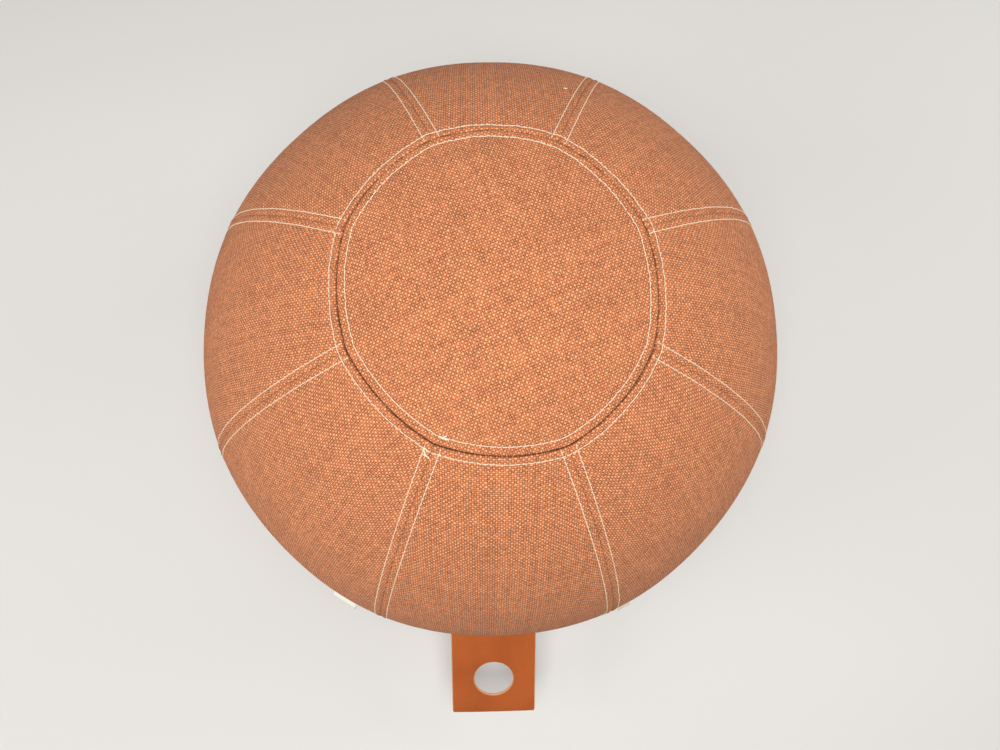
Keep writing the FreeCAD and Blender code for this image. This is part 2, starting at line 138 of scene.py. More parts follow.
class CoverSizes(bpy.types.PropertyGroup):
    """The sewn cover: its ball, panels, seams and cloth."""

    ball_diameter: length("Ball diameter", "Outside of the inflated, covered ball", 0.65)
    foot_diameter: length("Foot diameter", "Where the ball is flat on the floor", 0.33)
    panels: whole_number("Panels", "Side panels round the ball", 8)
    panel_thickness: length("Panel thickness", "Cloth with its padded backing", 0.003)
    seam_gap: length("Seam gap", "Between neighbouring panels", 0.0006)
    side_gap: length("Side seam gap", "Between two side panels, whose seam is drawn tight", 0.00015)
    # Reach of the painted shade along the seams
    shade_width: length("Seam shade", "How far the shade of a seam reaches", 0.0006)
    seat_radius: length("Seat radius", "Ring seam at the side seams", 0.1375)
    seat_draw_in: length("Seat draw-in", "Ring seam nearer the middle between two side seams", 0.0025)
    seat_stretch: length("Seat stretch", "How oval the sewn ring is: farther out along one line", 0.0042)
    seat_turn: angle("Seat turn", "That line, from the front", 18)
    waist_height: length("Waist height", "Zip and tab above the floor", JOINTS["zip_travel"]["pos_m"][2])
    flatness: length("Flat middles", "How far a panel's middle lies inside the ball", 0.0016)
    groove_depth: length("Ring groove", "Ring seam drawn in between its two ridges", 0.0026)
    side_groove: length("Side groove", "Side seams drawn in between their ridges", 0.0004)
    groove_width: length("Groove width", "From the seam to where the ridge starts", 0.0007)
    ridge_height: length("Ridge height", "Folded seam allowance beside the groove", 0.0006)
    ridge_place: length("Ridge place", "Crown of the ridge from the seam", 0.0034)
    ridge_width: length("Ridge width", "Half width of the ridge", 0.0019)
    dent_depth: length("Stitch dent", "Cloth pulled in under a row of stitches", 0.0006)
    dent_width: length("Dent width", "Half width of that dent", 0.0014)
    ripple: length("Ripple", "Gathered cloth along the stitch rows", 0.0002)
    yarn_across: length("Yarn pitch across", "From yarn to yarn across a panel", 0.00217)
    yarn_along: length("Yarn pitch along", "From yarn to yarn along a panel", 0.00192)
    seat_grain: angle("Seat grain", "Azimuth of the seat's lengthways yarns", 24)


class SewingSizes(bpy.types.PropertyGroup):
    """The topstitching."""

    thread: length("Thread", "Thread diameter", 0.001)
    stitch: length("Stitch length", "From one needle hole to the next", 0.0053)
    hole: length("Needle hole", "Gap between two stitches", 0.0007)
    side_row: length("Side rows", "From a side seam to each of its rows", 0.0065)
    ring_row_inside: length("Inner ring row", "From the ring seam, on the seat", 0.0083)
    ring_row_outside: length("Outer ring row", "From the ring seam, on the side panels", 0.0072)
    zip_row: length("Zip rows", "From the edge of the zip's slot", 0.004)


class TabSizes(bpy.types.PropertyGroup):
    """The leather pull tab."""

    width: length("Tab width", "Across the tab", 0.11)
    length: length("Tab length", "From where it bends to its end", 0.165)
    thickness: length("Tab thickness", "Leather thickness", 0.0045)
    root_thickness: length("Root thickness", "Leather pressed in the seam", 0.003)
    root_depth: length("Root depth", "How far the root goes back from the bend", 0.024)
    corner: length("Corner radius", "Rounding of the two end corners", 0.003)
    droop: angle("Droop", "Below level at rest", 25.4)
    hole_to_end: length("Hole to end", "Middle of the finger hole to the tab's end", 0.054)
    edge_round: length("Edge rounding", "How far the cut edges are worn round", 0.0009)
    clearance: length("Seam clearance", "Between the root and the panels", 0.0003)


class ZipSizes(bpy.types.PropertyGroup):
    """The zip round the waist, as distances from the ball's centre and from the zip's middle."""

    front_half_angle: angle("Front stretch", "Half of the waist that has no zip", 38)
    slot: length("Slot", "Half the width of the opening between the panels", 0.0054)
    tooth_pitch: length("Tooth pitch", "Along the zip", 0.002)
    tooth_start: length("Tooth start", "From the zip's middle to the tooth's tip", 0.0006)
    tooth_end: length("Tooth end", "From the zip's middle to the tooth's root", 0.0039)
    coil_inside: length("Coil inside", "From the ball's centre", 0.322)
    coil_outside: length("Coil outside", "From the ball's centre", 0.3242)
    end_margin: length("End margin", "From the zip's end to its first tooth", 0.008)
    slider_back: length("Slider back", "Back face, from the ball's centre", 0.31935)
    slider_top: length("Slider top", "Front face, from the ball's centre", 0.32585)
    slider_plate: length("Slider plate", "Thickness of each plate", 0.0013)
    slider_length: length("Slider length", "Along the zip", 0.015)
    slider_half_width: length("Slider half width", "From the zip's middle", 0.00505)
    slider_lip: length("Slider lip", "Thickness of the lips beside the coils", 0.0008)
    lip_inside: length("Lip inside", "Foot of the lips, from the ball's centre", 0.32215)
    neck_length: length("Neck length", "Along the zip", 0.003)
    bridge: length("Bridge", "Diameter of the wire that holds the pull", 0.0016)
    bridge_span: length("Bridge span", "From the middle to each foot of the bridge", 0.00515)
    pull_width: length("Pull width", "Width of the folded strip", 0.008)
    pull_length: length("Pull length", "From the bridge to the strip's end", 0.04)
    pull_strip: length("Pull strip", "Thickness of one layer", 0.00095)
    pull_loop: length("Pull loop", "Outer radius round the bridge", 0.00195)


class SmallSizes(bpy.types.PropertyGroup):
    """Labels, foot and bladder."""

    label_reach: length("Label reach", "How far a label stands out of the seam", 0.062)
    label_thickness: length("Label thickness", "Woven ribbon", 0.0004)
    care_azimuth: angle("Wide label", "Azimuth of the wide label", -122.6)
    care_width: length("Wide label width", "Across the wide label", 0.037)
    size_azimuth: angle("Narrow label", "Azimuth of the narrow label", -61.6)
    size_width: length("Narrow label width", "Across the narrow label", 0.018)
    dot_radius: length("Grip dot radius", "Rubber dots under the foot", 0.0022)
    dot_height: length("Grip dot height", "How far the dots stand out", 0.0007)
    dot_pitch: length("Grip dot pitch", "Between two dots", 0.012)
    foot_row: length("Foot row", "From the foot's rim to its row of stitches", 0.007)
    bladder_wall: length("Bladder wall", "Thickness of the bladder", 0.001)
    rib_depth: length("Rib depth", "Grooves moulded in the bladder", 0.0005)
    ribs: whole_number("Ribs", "Ribs from pole to pole of the bladder", 24)
    neck_length: length("Valve neck", "Length of the bladder's neck", 0.014)
    neck_radius: length("Neck radius", "Outside of the neck", 0.011)
    neck_bore: length("Neck bore", "Radius that the plug fills", 0.005)
    plug_recess: length("Plug recess", "Radius of the recess for the plug's head", 0.0085)
    plug_depth: length("Plug depth", "Depth of that recess", 0.002)


class Colours(bpy.types.PropertyGroup):
    """The colours of the pouf."""

    light_yarn: colour("Light yarn", "Yarns along the panels", 243, 168, 117)
    dark_yarn: colour("Dark yarn", "Yarns across the panels", 211, 121, 77)
    rosy_yarn: colour("Rosy yarn", "Uneven dye here and there", 214, 122, 88)
    thread: colour("Thread", "Topstitching", 240, 220, 192)
    leather: colour("Leather", "Face of the tab", 180, 87, 24)
    leather_dark: colour("Leather shade", "Oiled and handled leather", 162, 74, 13)
    leather_edge: colour("Leather edge", "Raw cut edge", 238, 184, 138)
    label: colour("Label", "Woven ribbon", 248, 244, 232)
    small_label: colour("Small label", "Woven ribbon", 238, 222, 190)
    zip_tape: colour("Zip tape", "Woven tape", 122, 62, 38)
    zip_teeth: colour("Zip teeth", "Nylon coil", 146, 78, 48)
    metal: colour("Zip metal", "Slider and stops", 176, 158, 126)
    foot: colour("Foot", "Non-slip cloth", 74, 66, 61)
    dots: colour("Grip dots", "Rubber dots under the foot", 134, 128, 120)
    rubber: colour("Rubber", "Weight in the foot", 36, 34, 33)
    lining: colour("Lining", "Felt over the weight", 168, 160, 148)
    bladder: colour("Bladder", "Vinyl", 150, 152, 156)
    valve: colour("Valve", "Plug", 232, 232, 226)
    tape: colour("Seam tape", "Cotton tape behind the seams", 104, 46, 26)
    floor: colour("Floor", "Studio floor", 226, 224, 220)


class StageSettings(bpy.types.PropertyGroup):
    """The studio: camera and light."""

    lens: plain_number("Lens", "Focal length on a 36 mm sensor", 27.04, "CAMERA")
    eye: FloatVectorProperty(
        name="Eye",
        description="Where the camera is",
        default=(-0.0185, -0.1632, 1.1725),
        subtype="TRANSLATION",
    )
    tilt: angle("Tilt", "Camera tilt from straight down", -8.63)
    yaw: angle("Yaw", "Camera swing to the side", 1.81)
    roll: angle("Roll", "Camera roll", 0.88)
    key_power: plain_number("Key light", "Overhead soft light", 37.0, "POWER")
    fill_power: plain_number("Fill light", "Soft light from each side", 16.0, "POWER")
    ambient: plain_number("Ambient", "Strength of the surroundings", 0.2)
    floor_bounce: plain_number("Floor bounce", "Light that the floor gives back", 0.35)


class PoufSettings(bpy.types.PropertyGroup):
    """Everything that can be changed."""

    cover: PointerProperty(type=CoverSizes)
    sewing: PointerProperty(type=SewingSizes)
    tab: PointerProperty(type=TabSizes)
    zip: PointerProperty(type=ZipSizes)
    small: PointerProperty(type=SmallSizes)
    colours: PointerProperty(type=Colours)
    stage: PointerProperty(type=StageSettings)


# Shader expressions

class Value:
    """A shader socket that takes part in Python sums: each operator adds one Math node."""

    def __init__(self, finish, socket):
        self.finish = finish
        self.socket = socket

    def math(self, operation, *others):
        return self.finish.math(operation, self, *others)

    def __add__(self, other):
        return self.math("ADD", other)

    def __sub__(self, other):
        return self.math("SUBTRACT", other)

    def __rsub__(self, other):
        return self.finish.math("SUBTRACT", other, self)

    def __mul__(self, other):
        return self.math("MULTIPLY", other)

    def __truediv__(self, other):
        return self.math("DIVIDE", other)

    def __pow__(self, other):
        return self.math("POWER", other)

    def __abs__(self):
        return self.math("ABSOLUTE")

    __radd__ = __add__
    __rmul__ = __mul__


class Finish:
    """A material and the nodes that give it its look."""

    def __init__(self, name, tree=None):
        self.tree = tree
        if tree is None:
            self.material = bpy.data.materials.new(name)
            self.material.use_nodes = True
            self.tree = self.material.node_tree
            self.tree.nodes.clear()

    def node(self, kind, settings=(), inputs=()):
        """A new node: its settings first, then the values or links of its inputs."""
        made = self.tree.nodes.new(kind)
        for name, setting in dict(settings).items():
            setattr(made, name, setting)
        for name, given in dict(inputs).items():
            if isinstance(given, Value):
                self.tree.links.new(given.socket, made.inputs[name])
            else:
                made.inputs[name].default_value = given
        return made

    def value(self, kind, settings=(), inputs=(), output=0):
        """An output of a new node."""
        return Value(self, self.node(kind, settings, inputs).outputs[output])

    def math(self, operation, *terms):
        return self.value("ShaderNodeMath", {"operation": operation}, dict(enumerate(terms)))

    def smooth(self, value, low, high):
        """0 below low, 1 above high and an even curve between them."""
        settings = {"interpolation_type": "SMOOTHSTEP"}
        return self.value("ShaderNodeMapRange", settings, {"Value": value, "From Min": low, "From Max": high})

    def mix(self, share, first, second, blend="MIX"):
        """A colour between two colours."""
        settings = {"data_type": "RGBA", "blend_type": blend}
        given = [c if isinstance(c, Value) else (*c, 1.0) for c in (first, second)]
        return self.value("ShaderNodeMix", settings, {0: share, 6: given[0], 7: given[1]}, 2)

    def tint(self, colour, level):
        """A colour made lighter or darker by a value."""
        grey = self.value("ShaderNodeCombineColor", (), {0: level, 1: level, 2: level})
        return self.mix(1.0, colour, grey, "MULTIPLY")

    def object_place(self):
        return self.value("ShaderNodeTexCoord", (), (), "Object")

    def grain_place(self):
        return self.value("ShaderNodeUVMap", {"uv_map": GRAIN})

    def mask(self, name):
        """A layer of values that the mesh carries."""
        return self.value("ShaderNodeAttribute", {"attribute_name": name}, (), "Fac")

    def seen(self):
        """1 for what is looked at, straight, mirrored or through a piece, and 0 for light on its way."""
        paths = self.node("ShaderNodeLightPath").outputs
        camera, glossy, through = [Value(self, paths[f"Is {ray} Ray"]) for ray in LOOKS]
        return camera + glossy + through

    def parts(self, vector):
        """The three parts of a vector."""
        split = self.node("ShaderNodeSeparateXYZ", (), {0: vector})
        return [Value(self, socket) for socket in split.outputs]

    def noise(self, place, scale, detail=2.0, roughness=0.5):
        """Soft noise from 0 to 1."""
        inputs = {"Vector": place, "Scale": scale, "Detail": detail, "Roughness": roughness}
        return self.value("ShaderNodeTexNoise", {"noise_dimensions": "3D"}, inputs)

    def stretched(self, place, scale):
        """A place with a scale of its own along each axis."""
        return self.value("ShaderNodeMapping", (), {"Vector": place, "Scale": scale})

    def specks(self, value):
        """A different value from 0 to 1 for each number."""
        return self.value("ShaderNodeTexWhiteNoise", {"noise_dimensions": "1D"}, {"W": value})

    def bump(self, height, distance, strength=1.0):
        inputs = {"Height": height, "Distance": distance, "Strength": strength}
        return self.value("ShaderNodeBump", (), inputs)

    def surface(self, **sockets):
        """The finished material, from the shader's sockets by name."""
        inputs = {name.replace("_", " "): given for name, given in sockets.items()}
        shader = self.value("ShaderNodeBsdfPrincipled", (), inputs)
        self.node("ShaderNodeOutputMaterial", (), {"Surface": shader})
        return self.material


# Finishes

def cover_cloth(pouf):
    """Coarse plain weave of light and dark rust yarns, with slubs, fluffy fibre and painted shade in the gaps
    between yarns.
    """
    look = Finish("cover cloth")
    place = look.grain_place()
    across, along, _ = look.parts(place)
    across = across / pouf.cover.yarn_across + (look.noise(place, 90.0) - 0.5) * 0.6
    along = along / pouf.cover.yarn_along + (look.noise(place, 130.0) - 0.5) * 0.6
    across = across + (look.noise(place, 330.0) - 0.5) * 0.9
    along = along + (look.noise(place, 370.0) - 0.5) * 0.9
    weave = (across * pi).math("SINE") * (along * pi).math("SINE")
    float_height = abs(weave) ** 0.55
    lengthways = look.smooth(weave, -0.2, 0.2)
    cell = look.specks(across.math("FLOOR") * 7.31 + along.math("FLOOR") * 3.17)
    yarn_tone = look.specks(along.math("FLOOR")) + look.specks(across.math("FLOOR") + 0.5)
    strands_across = look.noise(look.stretched(place, (600.0, 2900.0, 1.0)), 1.0, 3.0, 0.6)
    strands_along = look.noise(look.stretched(place, (2900.0, 600.0, 1.0)), 1.0, 3.0, 0.6)
    strands = strands_across + (strands_along - strands_across) * lengthways
    cloud = look.noise(place, 24.0, 3.0)
    # Painted shade: the colour darkens where the yarns dip into the gaps between them
    level = 0.2 + float_height * 0.88 + (cell - 0.5) * 0.3 + (yarn_tone - 1.0) * 0.08
    level = level + (strands - 0.5) * 0.5 + (cloud - 0.5) * 0.16
    # Painted shade in the seams' grooves and beside them
    level = level * (1 - look.mask(IN_SEAM) * 0.92)
    yarn = look.mix(lengthways, pouf.colours.dark_yarn, pouf.colours.light_yarn)
    yarn = look.mix(look.smooth(look.noise(place, 75.0), 0.5, 0.8) * 0.5, yarn, pouf.colours.rosy_yarn)
    height = float_height + (strands - 0.5) * 0.3 + (cell - 0.5) * 0.3
    return look.surface(
        Base_Color=look.tint(yarn, level),
        Roughness=0.94 - float_height * 0.08,
        Specular_IOR_Level=0.2,
        Sheen_Weight=0.04,
        Sheen_Roughness=0.6,
        Normal=look.bump(height, 0.0005, 0.8),
    )


def sewing_thread(pouf):
    """Pale bonded thread with a little shade in its twist."""
    look = Finish("sewing thread")
    place = look.object_place()
    twist = look.noise(place, 1500.0, 2.0)
    handled = look.noise(place, 60.0, 2.0)
    level = 0.86 + twist * 0.18 - handled * 0.08
    return look.surface(
        Base_Color=look.tint(pouf.colours.thread, level),
        Roughness=0.62 + twist * 0.2,
        Specular_IOR_Level=0.35,
        Normal=look.bump(twist, 0.00018, 0.6),
    )


def tan_leather(pouf):
    """Smooth vegetable-tanned leather: fine grain, cloudy colour, pale fibrous cut edges."""
    look = Finish("tan leather")
    place = look.object_place()
    cloud = look.noise(place, 16.0, 3.0)
    fleck = look.noise(place, 240.0, 3.0, 0.6)
    from_edge = {"feature": "DISTANCE_TO_EDGE"}
    cells = look.value("ShaderNodeTexVoronoi", from_edge, {"Vector": place, "Scale": 900.0})
    pores = look.smooth(cells, 0.0, 0.22)
    edge = look.mask(RAW_EDGE)
    fibre = look.noise(place, 700.0, 3.0, 0.7)
    face = look.mix(look.smooth(cloud, 0.3, 0.75), pouf.colours.leather, pouf.colours.leather_dark)
    face = look.tint(face, 0.84 + fleck * 0.2 + pores * 0.08)
    cut = look.tint(pouf.colours.leather_edge, 0.72 + fibre * 0.5)
    return look.surface(
        Base_Color=look.mix(edge, face, cut),
        Roughness=0.36 + fleck * 0.14 + edge * 0.3,
        Specular_IOR_Level=0.42,
        Normal=look.bump(pores * (1 - edge) + fibre * edge * 2 + fleck * 0.5, 0.00012, 0.6),
    )


def ribbon_cloth(name, rgb):
    """Satin ribbon with fine crosswise ribs."""
    look = Finish(name)
    place = look.grain_place()
    across, along, _ = look.parts(place)
    rib_pitch = 0.0006
    ribs = (along * (2 * pi / rib_pitch)).math("SINE") * 0.5 + 0.5
    selvedge = look.smooth(abs(across), 0.42, 0.47)
    soil = look.noise(place, 40.0, 3.0)
    level = 0.9 + ribs * 0.08 - selvedge * 0.06 - soil * 0.05
    return look.surface(
        Base_Color=look.tint(rgb, level),
        Roughness=0.55 + ribs * 0.15,
        Specular_IOR_Level=0.4,
        Normal=look.bump(ribs, 0.0001, 0.5),
    )


def zip_tape_cloth(pouf):
    """Tightly woven tape in a fine herringbone."""
    look = Finish("zip tape cloth")
    x, y, z = look.parts(look.object_place())
    run = y.math("ARCTAN2", x) * (pouf.cover.ball_diameter / 2)
    chevron = (z * 500.0).math("PINGPONG", 1.0)
    twill = ((run * 900.0 + chevron * 1.6) * pi).math("SINE") * 0.5 + 0.5
    level = 0.7 + twill * 0.45
    return look.surface(
        Base_Color=look.tint(pouf.colours.zip_tape, level),
        Roughness=0.8 - twill * 0.1,
        Normal=look.bump(twill, 0.00015, 0.6),
    )


def zip_nylon(pouf):
    """Moulded nylon with a faint haze."""
    look = Finish("zip nylon")
    haze = look.noise(look.object_place(), 300.0, 2.0)
    return look.surface(
        Base_Color=look.tint(pouf.colours.zip_teeth, 0.85 + haze * 0.3),
        Roughness=0.34 + haze * 0.16,
        Normal=look.bump(haze, 0.00005, 0.4),
    )


def brushed_metal(pouf):
    """Aged brass with a fine brush and darker handling marks."""
    look = Finish("zip metal")
    place = look.object_place()
    brush = look.noise(look.stretched(place, (400.0, 400.0, 4000.0)), 1.0, 3.0, 0.6)
    wear = look.noise(place, 260.0, 3.0)
    return look.surface(
        Base_Color=look.tint(pouf.colours.metal, 0.7 + wear * 0.45),
        Metallic=1.0,
        Roughness=0.26 + brush * 0.22,
        Normal=look.bump(brush, 0.00003, 0.5),
    )


def plain_weave(name, rgb, pitch, depth):
    """A plain woven cloth on a flat or wrapped piece, from its place in the pouf."""
    look = Finish(name)
    place = look.object_place()
    x, y, z = look.parts(place)
    weave = (x * (pi / pitch)).math("SINE") * ((y + z) * (pi / pitch)).math("SINE")
    yarn = abs(weave) ** 0.5
    fibre = look.noise(place, 900.0, 2.0)
    # Painted shade: the colour darkens in the gaps between the yarns
    return look.surface(
        Base_Color=look.tint(rgb, 0.6 + yarn * 0.45 + (fibre - 0.5) * 0.3),
        Roughness=0.92 - yarn * 0.08,
        Specular_IOR_Level=0.25,
        Normal=look.bump(yarn, depth, 0.7),
    )


def moulded(name, rgb, roughness, coarse):
    """Moulded rubber, vinyl or plastic with a light surface texture."""
    look = Finish(name)
    place = look.object_place()
    texture = look.noise(place, coarse, 3.0, 0.6)
    cloud = look.noise(place, 18.0, 2.0)
    return look.surface(
        Base_Color=look.tint(rgb, 0.82 + texture * 0.2 + cloud * 0.14),
        Roughness=roughness + (texture - 0.5) * 0.2,
        Normal=look.bump(texture, 0.0001, 0.4),
    )


def pressed_felt(pouf):
    """Pressed felt of short tangled fibres."""
    look = Finish("lining felt")
    place = look.object_place()
    tangle = look.noise(place, 1200.0, 4.0, 0.7)
    cloud = look.noise(place, 60.0, 3.0)
    return look.surface(
        Base_Color=look.tint(pouf.colours.lining, 0.6 + tangle * 0.6 + (cloud - 0.5) * 0.2),
        Roughness=0.95,
        Specular_IOR_Level=0.15,
        Normal=look.bump(tangle, 0.0003, 0.6),
    )


def studio_floor(pouf):
    """Plain pale floor, which gives back less light than it shows and fades into the surroundings."""
    look = Finish("studio floor")
    bounce = [level * pouf.stage.floor_bounce for level in pouf.colours.floor]
    shown = look.mix(look.seen(), bounce, pouf.colours.floor)
    x, y, _ = look.parts(look.object_place())
    fade_start, fade_end = 1.4, 5.0
    far = look.smooth(x * x + y * y, fade_start, fade_end)
    return look.surface(Base_Color=shown, Roughness=0.9, Specular_IOR_Level=0.1, Alpha=1 - far)


# Meshes

def smooth(share):
    """0 to 1 with an even curve, from numbers below 0 to above 1."""
    share = np.clip(share, 0.0, 1.0)
    return share * share * (3 - 2 * share)


def bell(distance, width):
    """1 in the middle, falling off to both sides."""
    return np.exp(-((distance / width) ** 2))


def unit(vectors):
    """Rows of numbers as directions of length 1."""
    return vectors / np.linalg.norm(vectors, axis=1, keepdims=True)


def ladder(steps, count):
    """Shares of the way from one edge to another, with steps off each edge and evenly spread between them.

    Returns the shares, the step at each and how much of it counts: 1 at the first edge, -1 at the last.
    """
    inner = np.linspace(0, 1, count + 1)[1:-1]
    shares = np.concatenate([np.zeros(len(steps)), inner, np.ones(len(steps))])
    offsets = np.concatenate([steps, np.full(len(inner), steps[-1]), steps[::-1]])
    return shares, offsets, 1 - 2 * shares


def grid_faces(rows, columns, first=0, wrap=False):
    """Quads of a grid of points, row by row."""
    last = columns if wrap else columns - 1
    faces = []
    for i in range(rows - 1):
        for j in range(last):
            k = (j + 1) % columns
            faces.append([first + i * columns + j, first + (i + 1) * columns + j,
                          first + (i + 1) * columns + k, first + i * columns + k])
    return faces


def turned_over(faces):
    return [face[::-1] for face in faces]


class Lump:
    """Points and faces gathered for one mesh."""

    def __init__(self):
        self.points = []
        self.faces = []
        self.flat = []
        self.count = 0

    def add(self, points, faces, flat=False):
        """Adds points and the faces between them, and returns the number of the first point."""
        first = self.count
        self.points.append(np.asarray(points, float).reshape(-1, 3))
        self.count += len(self.points[-1])
        self.bridge([[first + index for index in face] for face in faces], flat)
        return first

    def bridge(self, faces, flat=False):
        """Adds faces between points that are already there."""
        self.faces += faces
        self.flat += [flat] * len(faces)

    def piece(self, name, finish, slot, body=None, replaced=(), grain=None, mask=None):
        """The mesh as a piece of the pouf, riding on a body, with a (name, values) mask for its finish."""
        mesh = bpy.data.meshes.new(name)
        mesh.from_pydata(np.concatenate(self.points).tolist(), [], self.faces)
        mesh.polygons.foreach_set("use_smooth", [not flat for flat in self.flat])
        if grain is not None:
            corners = np.zeros(len(mesh.loops), int)
            mesh.loops.foreach_get("vertex_index", corners)
            layer = mesh.uv_layers.new(name=GRAIN)
            layer.data.foreach_set("uv", np.asarray(grain, float)[corners].ravel())
        if mask is not None:
            layer = mesh.attributes.new(mask[0], "FLOAT", "POINT")
            layer.data.foreach_set("value", np.asarray(mask[1], np.float32))
        mesh.materials.append(finish)
        mesh.update()
        made = bpy.data.objects.new(name, mesh)
        bpy.context.scene.collection.objects.link(made)
        if body:
            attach(made, body)
        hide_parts(*replaced)
        return made


def revolved(lump, profile, segments):
    """Turns (out, up) points about Z and adds the skin, with one point where the profile meets the axis."""
    turns = np.linspace(0, 2 * pi, segments, endpoint=False)
    rings = []
    for out, up in profile:
        on_axis = out < 1e-9
        ring = [(0, 0, up)] if on_axis else [(out * cos(t), out * sin(t), up) for t in turns]
        rings.append((lump.add(ring, []), on_axis))
    for (a, a_point), (b, b_point) in zip(rings, rings[1:]):
        for j in range(segments):
            k = (j + 1) % segments
            upper = [a] if a_point else [a + k, a + j]
            lower = [b] if b_point else [b + j, b + k]
            lump.bridge([upper + lower])


def tube_faces(rings, sides):
    """Faces of a tube whose points lie ring by ring, closed at both ends."""
    last = (rings - 1) * sides
    ends = [list(range(sides))[::-1], list(range(last, last + sides))]
    return turned_over(grid_faces(rings, sides, wrap=True)) + ends


def stitch_shape(sides=6):
    """A stitch of length, width and height 1, arched with its ends drawn in, along X with Z up."""
    along = np.array([-0.5, -0.38, -0.16, 0.16, 0.38, 0.5])
    swell = np.array([0.45, 0.9, 1.0, 1.0, 0.9, 0.45]) / 2
    arch = np.array([-0.42, -0.08, 0.1, 0.1, -0.08, -0.42])
    turns = np.linspace(0, 2 * pi, sides, endpoint=False)
    points = [(x, r * cos(t), h + r * sin(t)) for x, r, h in zip(along, swell, arch) for t in turns]
    return np.array(points), tube_faces(len(along), sides)


def scatter(lump, shape, places, forward, upward, sizes):
    """Copies of a small shape at many places, each with its own directions and (length, width, height)."""
    points, faces = shape
    forward = unit(forward)
    sideways = unit(np.cross(upward, forward))
    upward = np.cross(forward, sideways)
    local = points[None, :, :] * sizes[:, None, :]
    placed = places[:, None, :]
    for part, direction in enumerate((forward, sideways, upward)):
        placed = placed + local[:, :, part:part + 1] * direction[:, None]
    shift = len(points)
    lump.add(placed, [[index + n * shift for index in face] for n in range(len(places)) for face in faces])


def tube(lump, path, radius, sides=8):
    """A round wire or thread along points, closed at both ends."""
    ahead = unit(np.gradient(path, axis=0))
    oblique = np.array([0.31, 0.17, 0.93])
    side = unit(np.cross(ahead, oblique))
    up = np.cross(side, ahead)
    turns = np.linspace(0, 2 * pi, sides, endpoint=False)[None, :, None]
    rings = path[:, None] + radius * (np.cos(turns) * side[:, None] + np.sin(turns) * up[:, None])
    lump.add(rings, tube_faces(len(path), sides))


def prism(lump, outline, low, high, bevel, place):
    """A plate with eased edges: an outline of (along, across) points between two heights, put in place."""
    outline = np.asarray(outline, float)
    middle = outline.mean(axis=0)
    reach = np.linalg.norm(outline - middle, axis=1, keepdims=True)
    drawn_in = middle + (outline - middle) * (1 - bevel / reach)
    rings = [(drawn_in, low), (outline, low + bevel), (outline, high - bevel), (drawn_in, high)]
    points = [place(np.full(len(ring), height), ring[:, 0], ring[:, 1]) for ring, height in rings]
    lump.add(points, tube_faces(len(rings), len(outline)), flat=True)


